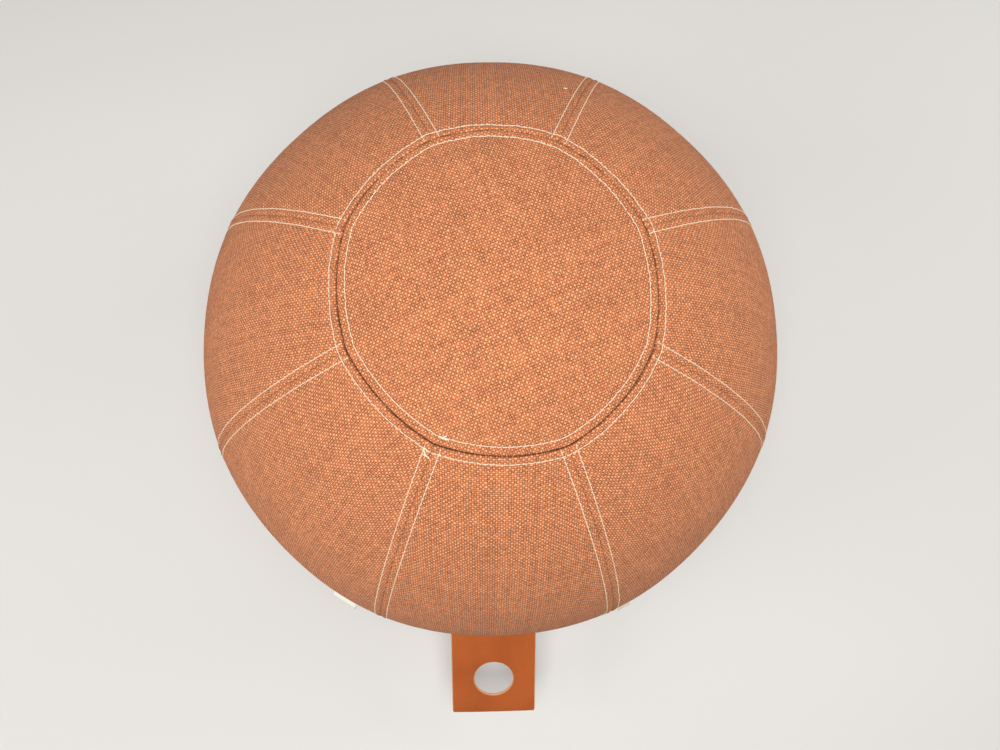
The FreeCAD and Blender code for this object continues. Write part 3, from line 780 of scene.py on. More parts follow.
class CoverForm:
    """The lines of the sewn cover on the ball, and how its cloth stands in and out along them."""

    def __init__(self, pouf):
        cover = pouf.cover
        self.pouf = pouf
        self.cover = cover
        self.radius = cover.ball_diameter / 2
        self.inside = -cover.panel_thickness
        self.centre = sqrt(self.radius**2 - (cover.foot_diameter / 2) ** 2)
        self.middle = self.centre * UP
        self.pitch = 2 * pi / cover.panels
        self.waist = acos((cover.waist_height - self.centre) / self.radius)
        self.waist_radius = self.radius * sin(self.waist)
        base_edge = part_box("base_panel")[1].z + cover.seam_gap
        self.base = acos((base_edge - self.centre) / self.radius)
        corner = asin(cover.seat_radius / self.radius)
        middle = asin((cover.seat_radius - cover.seat_draw_in) / self.radius)
        rise = cos(middle) - cos(corner)
        self.ring_lean = atan2(rise, sin(middle) - sin(corner) * cos(self.pitch / 2))
        self.ring_angle = middle + self.ring_lean

    def turn(self, azimuth):
        """How far an azimuth is from the middle of its panel."""
        return (azimuth - FRONT + self.pitch / 2) % self.pitch - self.pitch / 2

    def from_front(self, azimuth):
        return np.abs((azimuth - FRONT + pi) % (2 * pi) - pi)

    def uneven(self, azimuth):
        """How much farther out the sewn ring seam lies than a regular one."""
        line = azimuth - FRONT - self.cover.seat_turn
        return 1 + self.cover.seat_stretch / self.cover.seat_radius * np.cos(2 * line)

    def ring(self, azimuth):
        """Polar angle of the ring seam round the seat."""
        across = -sin(self.ring_lean) * np.cos(self.turn(azimuth))
        up = cos(self.ring_lean)
        regular = np.arctan2(across, up) + np.arccos(cos(self.ring_angle) / np.hypot(across, up))
        return regular * self.uneven(azimuth)

    def below_ring(self, azimuth, polar):
        """Distance outside the ring seam, negative on the seat."""
        polar = polar / self.uneven(azimuth)
        across = -sin(self.ring_lean) * np.cos(self.turn(azimuth)) * np.sin(polar)
        spread = np.arccos(np.clip(across + cos(self.ring_lean) * np.cos(polar), -1, 1))
        return self.radius * (spread - self.ring_angle)

    def from_side_seam(self, azimuth, polar):
        """Distance from the nearest side seam."""
        past = self.pitch / 2 - np.abs(self.turn(azimuth))
        return self.radius * np.arcsin(np.sin(polar) * np.sin(past))

    def waist_edge(self, azimuth):
        """Half the width of the opening at the waist: the zip's slot, the tab's root or a plain seam."""
        front = self.from_front(azimuth)
        tab = self.pouf.tab
        plain = self.cover.seam_gap / 2
        root = tab.root_thickness / 2 + tab.clearance
        ease = self.cover.ridge_place / self.waist_radius
        tab_half = (tab.width / 2 + tab.clearance) / self.waist_radius
        at_zip = smooth((front - self.pouf.zip.front_half_angle) / ease + 0.5)
        at_tab = smooth((tab_half - front) / ease + 1.0)
        return plain + (self.pouf.zip.slot - plain) * at_zip + (root - plain) * at_tab

    def seam(self, distance, row, depth):
        """A sewn seam: groove, rounded ridge and the dent under a row of stitches."""
        cover = self.cover
        groove = depth * bell(distance, cover.groove_width)
        ridge = cover.ridge_height * bell(distance - cover.ridge_place, cover.ridge_width)
        dent = cover.dent_depth * bell(distance - row, cover.dent_width)
        return ridge - groove - dent

    def ripples(self, run, distance, row):
        """Gathered cloth along a row of stitches, from how far along the seam a point is."""
        waves = sum(np.sin(run / wave + start) for wave, start in GATHERS)
        return self.cover.ripple * waves * bell(distance - row, 2.5 * self.cover.dent_width)

    def lift(self, azimuth, polar):
        """How far the cloth stands out from the ball at a place on the cover."""
        cover = self.cover
        sewing = self.pouf.sewing
        below = self.below_ring(azimuth, polar)
        on_side = smooth(below / cover.seam_gap)
        side = self.from_side_seam(azimuth, polar)
        row = np.where(below > 0, sewing.ring_row_outside, sewing.ring_row_inside)
        lift = self.seam(np.abs(below), row, cover.groove_depth)
        lift += self.ripples(azimuth * cover.seat_radius, np.abs(below), row)
        lift += on_side * self.seam(side, sewing.side_row, cover.side_groove)
        lift += on_side * self.ripples(polar * self.radius, side, sewing.side_row)
        waist = np.abs(self.waist - polar) * self.radius - self.waist_edge(azimuth)
        fade = 0.02
        at_zip = smooth((self.from_front(azimuth) - self.pouf.zip.front_half_angle) / fade)
        rolled = cover.groove_depth * bell(waist, 1.6 * cover.groove_width)
        dent = at_zip * cover.dent_depth * bell(waist - sewing.zip_row, cover.dent_width)
        foot = (self.base - polar) * self.radius
        tucked = cover.groove_depth * bell(foot, 2 * cover.groove_width)
        half = self.radius * sin(self.pitch / 2)
        flat = cover.flatness * on_side * smooth(side / half)
        thinnest = 0.3 * MILLIMETRE
        return np.maximum(lift - rolled - dent - tucked - flat, self.inside + thinnest)

    def place(self, azimuth, polar, out=0.0):
        """Points at a distance outside the ball."""
        azimuth, polar, out = np.broadcast_arrays(azimuth, polar, out)
        level = (self.radius + out) * np.sin(polar)
        up = self.centre + (self.radius + out) * np.cos(polar)
        return np.stack([level * np.cos(azimuth), level * np.sin(azimuth), up], axis=-1)

    def off_side_seam(self, seam, side, distance, polar):
        """Azimuth of points beside a side seam, at a distance from it."""
        return seam + side * np.arcsin(np.sin(distance / self.radius) / np.sin(polar))

    def seam_shade(self, azimuth, polar):
        """How deep in a seam's painted shade a point lies: fully in the ring seam, a little in the side seams."""
        width = self.cover.shade_width
        side_share = 0.12
        below = self.below_ring(azimuth, polar)
        on_side = smooth(below / self.cover.seam_gap)
        side = side_share * on_side * bell(self.from_side_seam(azimuth, polar), width)
        return np.maximum(bell(below, width), side)

    def panel_grid(self, number, above):
        """Azimuths and polar angles over a side or lower panel, close together along its seams."""
        gap = self.cover.seam_gap / 2
        side_gap = self.cover.side_gap / 2
        low, high = (self.ring(FRONT), self.waist) if above else (self.waist, self.base)
        rows = ceil((self.radius * (high - low) - 2 * SEAM_STEPS[-1]) / PANEL_STEP)
        columns = 20
        down, down_step, down_way = [part[:, None] for part in ladder(SEAM_STEPS, rows)]
        over, over_step, over_way = [part[None, :] for part in ladder(SEAM_STEPS, columns)]
        middle = FRONT + number * self.pitch
        azimuth = middle + self.pitch * (over - 0.5) + 0 * down
        # The waist's edge depends on the azimuth and a side seam's on the height, so both settle in rounds
        for _ in range(6):
            edge = self.waist_edge(azimuth) / self.radius
            top = self.ring(azimuth) + gap / self.radius if above else self.waist + edge
            bottom = self.waist - edge if above else self.base
            polar = top * (1 - down) + bottom * down + down_way * down_step / self.radius
            inward = np.arcsin(np.sin((side_gap + over_step) / self.radius) / np.sin(polar))
            azimuth = middle + self.pitch * (over - 0.5) + over_way * inward
        return azimuth, polar

    def grain(self, azimuth, polar):
        """Where the points of a side or lower panel lie on its flat cloth."""
        across = self.turn(azimuth) * self.radius * np.sin(polar)
        return np.stack([across, self.radius * polar], axis=-1).reshape(-1, 2)

    def waist_frame(self, azimuth):
        """Puts (out from the ball's centre, along the waist, up across it) in place at an azimuth."""
        out = np.array([sin(self.waist) * cos(azimuth), sin(self.waist) * sin(azimuth), cos(self.waist)])
        along = np.array([-sin(azimuth), cos(azimuth), 0.0])
        up = np.cross(out, along)

        def place(x, y, z):
            return self.middle + x[:, None] * out + y[:, None] * along + z[:, None] * up

        return place


def picked(count, wanted):
    """Evenly spread numbers out of a row, with both ends."""
    return np.unique(np.linspace(0, count - 1, wanted).round().astype(int))


def cloth_piece(form, lump, name, node, finish, outer, grain):
    """Cover cloth as a piece, with painted shade where its outer face dips into a seam."""
    in_seam = form.seam_shade(*outer).ravel()
    shade = np.zeros(lump.count)
    shade[:len(in_seam)] = in_seam
    return lump.piece(name, finish, "cover_fabric", "pouf", [node], np.concatenate(grain), (IN_SEAM, shade))


def panel_piece(form, number, above, finish):
    """One side or lower panel as a closed shell: fine outer face, plain lining and the edges between them."""
    azimuth, polar = form.panel_grid(number, above)
    rows, columns = azimuth.shape
    lump = Lump()
    lump.add(form.place(azimuth, polar, form.lift(azimuth, polar)), grid_faces(rows, columns))
    lining_rows = 26 if above else 14
    lining_columns = 10
    down = picked(rows, lining_rows)
    over = picked(columns, lining_columns)
    inner = [part[np.ix_(down, over)] for part in (azimuth, polar)]
    width = len(over)
    first = lump.add(form.place(*inner, form.inside), turned_over(grid_faces(len(down), width)))
    bottom = (rows - 1) * columns
    last = first + (len(down) - 1) * width
    rim = []
    for k, (start, end) in enumerate(zip(over, over[1:])):
        rim.append([*range(start, end + 1), first + k + 1, first + k])
        rim.append([*range(bottom + end, bottom + start - 1, -1), last + k, last + k + 1])
    for k, (start, end) in enumerate(zip(down, down[1:])):
        left = [row * columns for row in range(end, start - 1, -1)]
        right = [row * columns + columns - 1 for row in range(start, end + 1)]
        rim.append([*left, first + k * width, first + (k + 1) * width])
        rim.append([*right, first + (k + 2) * width - 1, first + (k + 1) * width - 1])
    lump.bridge(rim, flat=True)
    kind = "side" if above else "lower"
    name = f"{kind}_cloth_{number + 1}"
    node = f"{kind}_panel_{number + 1}"
    grain = [form.grain(azimuth, polar), form.grain(*inner)]
    made = cloth_piece(form, lump, name, node, finish, (azimuth, polar), grain)
    flat_length = form.radius * float(polar.max() - polar.min())


def seat_piece(form, finish):
    """The round seat as a closed shell."""
    gap = form.cover.seam_gap / 2 / form.radius
    steps = SEAM_STEPS / form.radius
    turns = np.linspace(0, 2 * pi, SEAT_COLUMNS, endpoint=False)[None, :]
    rim = form.ring(turns) - gap
    shares = np.linspace(0, 1, 21)[1:-1]
    inward = np.concatenate([steps, np.full(len(shares), steps[-1])])[:, None]
    share = np.concatenate([np.zeros(len(steps)), shares])[:, None]
    polar = (rim - inward) * (1 - share)
    azimuth = turns + 0 * polar
    rows = len(polar)
    lump = Lump()
    outer_faces = turned_over(grid_faces(rows, SEAT_COLUMNS, wrap=True))
    lump.add(form.place(azimuth, polar, form.lift(azimuth, polar)), outer_faces)
    pole = lump.add(form.place(0.0, 0.0), [])
    ring = (rows - 1) * SEAT_COLUMNS
    lump.bridge([[ring + j, ring + (j + 1) % SEAT_COLUMNS, pole] for j in range(SEAT_COLUMNS)])
    down = picked(rows, 7)
    over = range(0, SEAT_COLUMNS, SEAT_EVERY)
    inner = [part[np.ix_(down, over)] for part in (azimuth, polar)]
    width = len(over)
    first = lump.add(form.place(*inner, form.inside), grid_faces(len(down), width, wrap=True))
    under = lump.add(form.place(0.0, 0.0, form.inside), [])
    last = first + (len(down) - 1) * width
    lump.bridge([[last + (k + 1) % width, last + k, under] for k in range(width)])
    edge = []
    for k in range(width):
        outer = [(k * SEAT_EVERY + step) % SEAT_COLUMNS for step in range(SEAT_EVERY, -1, -1)]
        edge.append([*outer, first + k, first + (k + 1) % width])
    lump.bridge(edge, flat=True)

    def grain_of(azimuth, polar):
        direction = azimuth - form.cover.seat_grain
        place = np.stack([-polar * np.sin(direction), polar * np.cos(direction)], axis=-1)
        return form.radius * place.reshape(-1, 2)

    centre = np.zeros((1, 2))
    grain = [grain_of(azimuth, polar), centre, grain_of(*inner), centre]
    made = cloth_piece(form, lump, "seat_cloth", "seat_panel", finish, (azimuth, polar), grain)


# Sewing

def dense(start, end, radius):
    """Angles between two angles, about a millimetre apart."""
    return np.linspace(start, end, max(2, ceil(abs(end - start) * radius / MILLIMETRE)))


class SewnRows:
    """Rows of stitches gathered for one mesh."""

    def __init__(self, form, seed):
        self.form = form
        self.sewing = form.pouf.sewing
        self.lump = Lump()
        self.random = np.random.default_rng(seed)

    def row(self, azimuth, polar, raised=0.0):
        """A row of stitches along a line on the cover."""
        form = self.form
        azimuth, polar = np.broadcast_arrays(azimuth, polar)
        shown = 0.3 * self.sewing.thread
        height = form.lift(azimuth, polar) + shown + raised
        line = form.place(azimuth, polar, height)
        run = np.concatenate([[0], np.cumsum(np.linalg.norm(np.diff(line, axis=0), axis=1))])
        self.along(line, run, line - form.middle)

    def along(self, line, run, upward):
        """Stitches along a line of points, given how far along each is and which way is up there."""
        sewing = self.sewing
        count = max(1, round(run[-1] / sewing.stitch))
        holes = np.linspace(0, run[-1], count + 1)
        uneven, askew = 0.05 * sewing.stitch, 0.03 * sewing.stitch
        holes[1:-1] += self.random.normal(0, uneven, count - 1)
        starts = self.at(line, run, holes[:-1] + sewing.hole / 2)
        ends = self.at(line, run, holes[1:] - sewing.hole / 2)
        up = unit(self.at(upward, run, (holes[:-1] + holes[1:]) / 2))
        forward = ends - starts
        sideways = np.cross(up, unit(forward))
        forward = forward + sideways * self.random.normal(0, askew, (count, 1))
        sizes = np.empty((count, 3))
        sizes[:, 0] = np.linalg.norm(forward, axis=1) + sewing.hole
        sizes[:, 1:] = sewing.thread * self.random.uniform(0.92, 1.06, (count, 1))
        scatter(self.lump, stitch_shape(), (starts + ends) / 2, forward, up, sizes)

    @staticmethod
    def at(values, run, where):
        return np.stack([np.interp(where, run, values[:, part]) for part in range(3)], axis=1)

    def tail(self, azimuth, polar, heading, curl, long, raised):
        """A loose thread end that lies on the cloth in a slight curve."""
        form = self.form
        steps = 8
        share = np.linspace(0, 1, steps + 1)
        bend = heading + curl * share
        step = long / steps / form.radius
        polar_line = polar + np.concatenate([[0], np.cumsum(np.sin(bend[1:]) * step)])
        azimuth_line = azimuth + np.concatenate([[0], np.cumsum(np.cos(bend[1:]) * step)]) / sin(polar)
        height = form.lift(azimuth_line, polar_line) + raised * (0.4 + share) + 0.5 * self.sewing.thread
        frayed = 0.7 * self.sewing.thread
        tube(self.lump, form.place(azimuth_line, polar_line, height), frayed)

    def piece(self, name, finish, *replaced, body="pouf"):
        self.lump.piece(name, finish, "thread", body, replaced)


def side_seams(form):
    """Azimuths of the side seams, from the front panel's right one round towards +X."""
    return [FRONT + (number + 0.5) * form.pitch for number in range(form.cover.panels)]


def sew_side_rows(form, rows, above):
    """A row on each side of every side seam, up to the ring seam's groove or down to the foot."""
    clear = 2 * form.cover.groove_width / form.radius
    for seam in side_seams(form):
        at_waist = clear + float(form.waist_edge(seam)) / form.radius
        end = form.waist - at_waist if above else form.base - clear
        for side in (-1, 1):
            top = form.off_side_seam(seam, side, form.pouf.sewing.side_row, form.ring(seam))
            start = form.ring(top) + clear if above else form.waist + at_waist
            polar = dense(start, end, form.radius)
            rows.row(form.off_side_seam(seam, side, form.pouf.sewing.side_row, polar), polar)


def sew_ring(form, finish):
    """Two rows round the ring seam, with the sewn-over start and its thread ends at the front left seam."""
    sewing = form.pouf.sewing
    rows = SewnRows(form, seed=11)
    lifted = 0.35 * sewing.thread
    turns = dense(0, 2 * pi, form.cover.seat_radius)
    start = side_seams(form)[-1]
    for shift in (-sewing.ring_row_inside, sewing.ring_row_outside):
        azimuth = start + turns
        rows.row(azimuth, form.ring(azimuth) + shift / form.radius, lifted)
    inner = form.ring(start) - sewing.ring_row_inside / form.radius
    outer = form.ring(start) + sewing.ring_row_outside / form.radius
    left = start - sewing.side_row / form.cover.seat_radius
    right = start + sewing.side_row / form.cover.seat_radius
    # Each end: azimuth, polar angle, heading, how far it curls, length and how high it lies
    ends = (
        (start + 0.012, inner - 0.001, 0.22, -0.3, 0.0085, 0.0003),
        (start + 0.018, inner + 0.001, 0.1, -0.2, 0.0078, 0.0004),
        (start + 0.03, inner, -0.35, -0.7, 0.0045, 0.0006),
        (left, outer - 0.004, 0.15, 0.2, 0.006, 0.0003),
        (left, outer - 0.002, 1.1, -0.8, 0.0095, 0.0005),
        (left + 0.003, outer - 0.002, 1.15, -0.3, 0.0062, 0.0003),
        (right - 0.007, outer - 0.003, 0.1, 0.3, 0.0026, 0.0003),
    )
    for end in ends:
        rows.tail(*end)
    rows.piece("ring_stitches", finish, "ring_stitching")


def sew_sides(form, finish):
    """Rows beside the side seams, from the ring seam down to the waist, and a stray end at the back."""
    rows = SewnRows(form, seed=23)
    sew_side_rows(form, rows, True)
    polar = 0.72
    azimuth = form.off_side_seam(side_seams(form)[3], 1, 0.015, polar)
    rows.tail(azimuth, polar, -1.4, 0.9, 0.004, 0.0006)
    rows.piece("side_stitches", finish, "side_stitching")


def sew_lower(form, finish):
    """Rows beside the lower seams, from the waist down to the foot."""
    rows = SewnRows(form, seed=37)
    sew_side_rows(form, rows, False)
    rows.piece("lower_stitches", finish, "lower_stitching")


def sew_waist(form, finish):
    """A row above and a row below the zip."""
    zip_sizes = form.pouf.zip
    rows = SewnRows(form, seed=41)
    start = FRONT + zip_sizes.front_half_angle
    end = FRONT + 2 * pi - zip_sizes.front_half_angle
    for side in (-1, 1):
        shift = side * (zip_sizes.slot + form.pouf.sewing.zip_row) / form.radius
        rows.row(dense(start, end, form.waist_radius), form.waist + shift)
    rows.piece("zip_stitches", finish, "waist_stitching")


# Leather tab

def tab_outline(tab):
    """The square part of the tab round its finger hole, as a chain of (across, along) points.

    The chain starts at the root's left, runs across to its right and then round the free edges.
    """
    half = tab.width / 2
    start = tab.length - 2 * tab.hole_to_end
    shares, offsets, way = ladder(TAB_STEPS, 12)
    across = -half + shares * tab.width + way * offsets
    root = [(x, start) for x in across]
    down = np.linspace(start, tab.length - tab.corner, 12)[1:]
    quarter = np.linspace(0, pi / 2, 5)[1:]
    centre = half - tab.corner
    low = tab.length - tab.corner
    right = [(half, y) for y in down]
    right_corner = [(centre + tab.corner * cos(t), low + tab.corner * sin(t)) for t in quarter]
    end = [(x, tab.length) for x in np.linspace(centre, -centre, 14)[1:]]
    left_corner = [(-centre - tab.corner * sin(t), low + tab.corner * cos(t)) for t in quarter]
    left = [(-half, y) for y in down[::-1][1:]]
    return np.array(root + right + right_corner + end + left_corner + left), len(root)


def tab_plan(tab):
    """The flat tab: (across, along) points, faces seen from above, and the loops of its edge and hole."""
    outline, root = tab_outline(tab)
    hole_middle = np.array([0.0, tab.length - tab.hole_to_end])
    rays = outline - hole_middle
    reach = np.linalg.norm(rays, axis=1, keepdims=True)
    shares, offsets, way = ladder(TAB_STEPS, 7)
    far = TAB_HOLE_RADIUS + shares[None, :] * (reach - TAB_HOLE_RADIUS) + (way * offsets)[None, :]
    block = hole_middle + (rays / reach)[:, None, :] * far[:, :, None]
    around, deep = block.shape[:2]
    points = block.reshape(-1, 2)
    faces = []
    for p in range(around):
        q = (p + 1) % around
        for k in range(deep - 1):
            faces.append([p * deep + k, q * deep + k, q * deep + k + 1, p * deep + k + 1])
    rows = np.linspace(-tab.root_depth, outline[0][1], 30)[:-1]
    strip = np.array([[(outline[j][0], along) for j in range(root)] for along in rows])
    first = len(points)
    points = np.concatenate([points, strip.reshape(-1, 2)])
    faces += grid_faces(len(rows), root, first)
    last = first + (len(rows) - 1) * root
    rim = [j * deep + deep - 1 for j in range(around)]
    faces += [[last + j, rim[j], rim[j + 1], last + j + 1] for j in range(root - 1)]
    right_edge = [first + i * root + root - 1 for i in range(len(rows))]
    left_edge = [first + i * root for i in range(len(rows))]
    back = [first + j for j in range(1, root - 1)]
    outer = right_edge + rim[root - 1:] + [rim[0]] + left_edge[::-1] + back
    hole = [p * deep for p in range(around)][::-1]
    return points, faces, outer, hole


def tab_piece(form, finish):
    """The pull tab: one piece of leather, bending where it leaves the waist seam."""
    tab = form.pouf.tab
    plan, faces, outer, hole = tab_plan(tab)
    x, along = plan.T
    bend_start, bend_length = -0.008, 0.024
    free = smooth((along - bend_start) / bend_length)
    level = TAB_HINGE.y - np.where(along > 0, along * cos(tab.droop), along)
    seam_lean = form.waist - pi / 2
    in_seam = form.centre - np.hypot(x, level) * tan(seam_lean)
    hanging = TAB_HINGE.z - along * sin(tab.droop)
    middle = np.stack([x, level, in_seam * (1 - free) + hanging * free], axis=1)
    lean = seam_lean * (1 - free) + tab.droop * free
    normal = np.stack([0 * x, -np.sin(lean), np.cos(lean)], axis=1)
    arched, cupped = 0.0012, 0.0008
    arch = arched * np.sin(np.clip(along / tab.length, 0, 1) * pi)
    cup = cupped * (2 * x / tab.width) ** 2 * free
    middle += normal * (arch - cup)[:, None]
    hole_middle = np.array([0.0, tab.length - tab.hole_to_end])
    edge = np.minimum.reduce([
        tab.width / 2 - np.abs(x),
        tab.length - along,
        np.abs(np.linalg.norm(plan - hole_middle, axis=1) - TAB_HOLE_RADIUS),
    ])
    half = (tab.root_thickness + (tab.thickness - tab.root_thickness) * free) / 2
    half = half - tab.edge_round * (1 - np.sqrt(np.clip(edge / TAB_STEPS[-1], 0, 1)))
    lump = Lump()
    lump.add(middle + normal * half[:, None], faces)
    count = len(plan)
    lump.add(middle - normal * half[:, None], turned_over(faces))
    raw = np.concatenate([np.clip(1 - edge / tab.edge_round, 0, 1) * 0.8] * 2)
    slope = np.stack([0 * x, -np.cos(lean), -np.sin(lean)], axis=1)
    for loop in (outer, hole):
        edge_line = plan[loop]
        ahead = np.roll(edge_line, -1, axis=0) - np.roll(edge_line, 1, axis=0)
        outward = unit(np.stack([ahead[:, 1], -ahead[:, 0]], axis=1))
        pushed = np.array([1.0, 0, 0]) * outward[:, :1] + slope[loop] * outward[:, 1:]
        crown = lump.add(middle[loop] + 0.5 * tab.edge_round * pushed, [])
        for a, (here, there) in enumerate(zip(loop, loop[1:] + loop[:1])):
            b = (a + 1) % len(loop)
            lump.bridge([[here, there, crown + b, crown + a]])
            lump.bridge([[crown + a, crown + b, count + there, count + here]])
        raw = np.concatenate([raw, np.ones(len(loop))])
    replaced = ["pull_tab", "tab_root"]
    made = lump.piece("pull_tab_leather", finish, "tab_leather", None, replaced, None, (RAW_EDGE, raw))
    ahead = Vector((0, -cos(tab.droop), -sin(tab.droop)))
    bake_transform(made)


# Labels

def label_piece(form, name, node, azimuth, width, finish):
    """A woven ribbon label sewn into the waist seam, standing out with a slight wave."""
    small = form.pouf.small
    out = np.linspace(form.inside, small.label_reach, 26)[:, None]
    over = np.linspace(-0.5, 0.5, 9)[None, :]
    waved, cupped = 0.0008, 0.0012
    wave_starts, cup_starts = 0.012, 0.03
    wave = waved * np.sin(out / small.label_reach * 5.0) * smooth(out / wave_starts)
    cup = cupped * (over * 2) ** 2 * smooth(out / cup_starts)
    reach = (form.radius + out) / form.radius
    shrink = form.radius / (form.radius + np.maximum(out, 0))
    turn = azimuth + over * width / form.waist_radius * shrink
    base = form.middle + (form.place(turn, form.waist) - form.middle) * reach[..., None]
    up = np.array([-cos(azimuth) * cos(form.waist), -sin(azimuth) * cos(form.waist), sin(form.waist)])
    middle = base + (wave + cup)[..., None] * up
    half = small.label_thickness / 2
    rows, columns = middle.shape[:2]
    lump = Lump()
    ribbon = grid_faces(rows, columns)
    lump.add(middle + half * up, ribbon)
    count = rows * columns
    lump.add(middle - half * up, turned_over(ribbon))
    border = list(range(columns)) + [i * columns + columns - 1 for i in range(1, rows)]
    border += [count - 1 - j for j in range(1, columns)] + [i * columns for i in range(rows - 2, 0, -1)]
    pairs = list(zip(border, border[1:] + border[:1]))
    lump.bridge([[a, b, count + b, count + a] for a, b in pairs], flat=True)
    flat = np.stack(np.broadcast_arrays(over, out), axis=-1).reshape(-1, 2)
    made = lump.piece(name, finish, "label", "pouf", [node], np.concatenate([flat, flat]))
    number = round((azimuth - FRONT) / form.pitch) % form.cover.panels + 1


# Zip

def coil_piece(form, side, finish):
    """The teeth of one side of the zip."""
    sizes = form.pouf.zip
    margin = sizes.end_margin / form.waist_radius
    start = FRONT + sizes.front_half_angle + margin
    end = FRONT + 2 * pi - sizes.front_half_angle - margin
    count = int((end - start) * form.waist_radius / sizes.tooth_pitch)
    step = (end - start) / count
    offset = 0.25 if side > 0 else 0.75
    azimuth = start + (np.arange(count) + offset) * step
    middle = side * (sizes.tooth_start + sizes.tooth_end) / 2 / form.radius
    deep = (sizes.coil_inside + sizes.coil_outside) / 2 - form.radius
    places = form.place(azimuth, form.waist - middle, deep)
    upward = places - form.middle
    forward = form.place(azimuth, form.waist - 2 * middle, deep) - places
    long = sizes.tooth_end - sizes.tooth_start
    wide = 0.72 * sizes.tooth_pitch
    high = 0.82 * (sizes.coil_outside - sizes.coil_inside)
    lump = Lump()
    scatter(lump, stitch_shape(8), places, forward, upward, np.tile([long, wide, high], (count, 1)))
    node = "upper_zip_coil" if side > 0 else "lower_zip_coil"
    lump.piece(node.replace("coil", "teeth"), finish, "zip_coil", "pouf", [node])


def shield(long, half_wide):
    """Outline of a slider plate: (along, across) points, wide at one end and rounded in at the other."""
    places = (-0.5, -0.46, -0.34, -0.05, 0.2, 0.42, 0.49, 0.5)
    widths = (0.62, 0.8, 0.9, 0.94, 1.0, 1.0, 0.9, 0.72)
    upper = [(place * long, width * half_wide) for place, width in zip(places, widths)]
    return upper[::-1] + [(along, -across) for along, across in upper]


def slider_piece(form, finish):
    """The slider: two eased plates on a neck, lips beside the coils and a wire bridge for the pull."""
    sizes = form.pouf.zip
    place = form.waist_frame(PULL_AZIMUTH)
    plate = sizes.slider_plate
    back = sizes.slider_back
    face = sizes.slider_top - plate
    outline = shield(sizes.slider_length, sizes.slider_half_width)
    plate_ease, neck_ease, lip_ease = 0.0003, 0.0001, 0.0002
    lump = Lump()
    for low in (face, back):
        prism(lump, outline, low, low + plate, plate_ease, place)
    front = sizes.slider_length / 2
    rear = front - sizes.neck_length
    neck = [(front, 0.0004), (rear, 0.0002), (rear, -0.0002), (front, -0.0004)]
    prism(lump, neck, back + 0.5 * plate, face + 0.5 * plate, neck_ease, place)
    reach = 0.36 * sizes.slider_length
    for side in (-1, 1):
        wide = side * sizes.slider_half_width * 0.94
        thin = wide - side * sizes.slider_lip
        lip = [(reach, wide), (-reach, 0.96 * wide), (-reach, 0.96 * thin), (reach, thin)]
        prism(lump, lip[::side], sizes.lip_inside, face + 0.5 * plate, lip_ease, place)
    rise = (PULL_HOOK - Vector(form.middle)).length - face
    turns = np.linspace(0, pi, 17)
    square = 0.35
    along = -np.sign(np.cos(turns)) * np.abs(np.cos(turns)) ** square * sizes.bridge_span
    out = face + rise * np.sin(turns) ** square
    tube(lump, place(out, along, 0 * out), sizes.bridge / 2, 10)
    lump.piece("zip_slider_metal", finish, "zip_metal", "zip_slider", ["zip_slider"])


def pull_piece(form, finish, thread_finish):
    """The pull: a leather strip folded round the bridge, sewn across below the fold."""
    sizes = form.pouf.zip
    out = np.array([cos(PULL_AZIMUTH), sin(PULL_AZIMUTH), 0.0])
    along = np.array([-sin(PULL_AZIMUTH), cos(PULL_AZIMUTH), 0.0])
    hook = np.array(PULL_HOOK)
    strip = sizes.pull_strip
    loop = sizes.pull_loop - strip / 2
    gap = strip / 2 + 0.05 * MILLIMETRE
    fold = 0.007
    depth = np.concatenate([np.linspace(sizes.pull_length, fold, 12), np.linspace(0.0055, 0.0022, 5)])
    neck = gap + (loop - gap) * smooth((fold - depth) / 0.006) * 0.8
    past = 0.35
    turns = np.linspace(-past, pi + past, 17)
    inner = [(-n, -d) for n, d in zip(neck, depth)]
    bend = [(-loop * cos(t), loop * sin(t)) for t in turns]
    path = np.array(inner + bend + [(-x, z) for x, z in inner[::-1]])
    ahead = np.gradient(path, axis=0)
    side = unit(np.stack([-ahead[:, 1], ahead[:, 0]], axis=1))
    corners = []
    for across, thick in ((-0.5, -0.5), (-0.5, 0.5), (0.5, 0.5), (0.5, -0.5)):
        flat = path + side * thick * strip
        width = across * sizes.pull_width
        corners.append(hook + flat[:, :1] * out + flat[:, 1:] * UP + width * along)
    points = np.stack(corners, axis=1)
    lump = Lump()
    lump.add(points, turned_over(tube_faces(*points.shape[:2])), flat=True)
    raw = np.full(lump.count, 0.3)
    lump.piece("zip_pull_strip", finish, "zip_pull", "zip_pull", ["zip_pull"], None, (RAW_EDGE, raw))
    sewn = SewnRows(form, seed=53)
    count = 9
    wide = 0.72 * sizes.pull_width
    share = np.linspace(-0.36, 0.36, count)[:, None] * sizes.pull_width
    for face in (-1, 1):
        height = face * (strip + 0.1 * MILLIMETRE)
        for drop in (0.0105, 0.036):
            line = hook + share * along + height * out - drop * UP
            sewn.along(line, np.linspace(0, wide, count), np.tile(face * out, (count, 1)))
    sewn.piece("zip_pull_stitches", thread_finish, body="zip_pull")


# Foot and bladder

def disc_piece(name, node, finish, slot, profile, segments):
    """A soft disc turned from an (out, up) profile."""
    lump = Lump()
    revolved(lump, profile, segments)
    made = lump.piece(name, finish, slot, "pouf", [node])


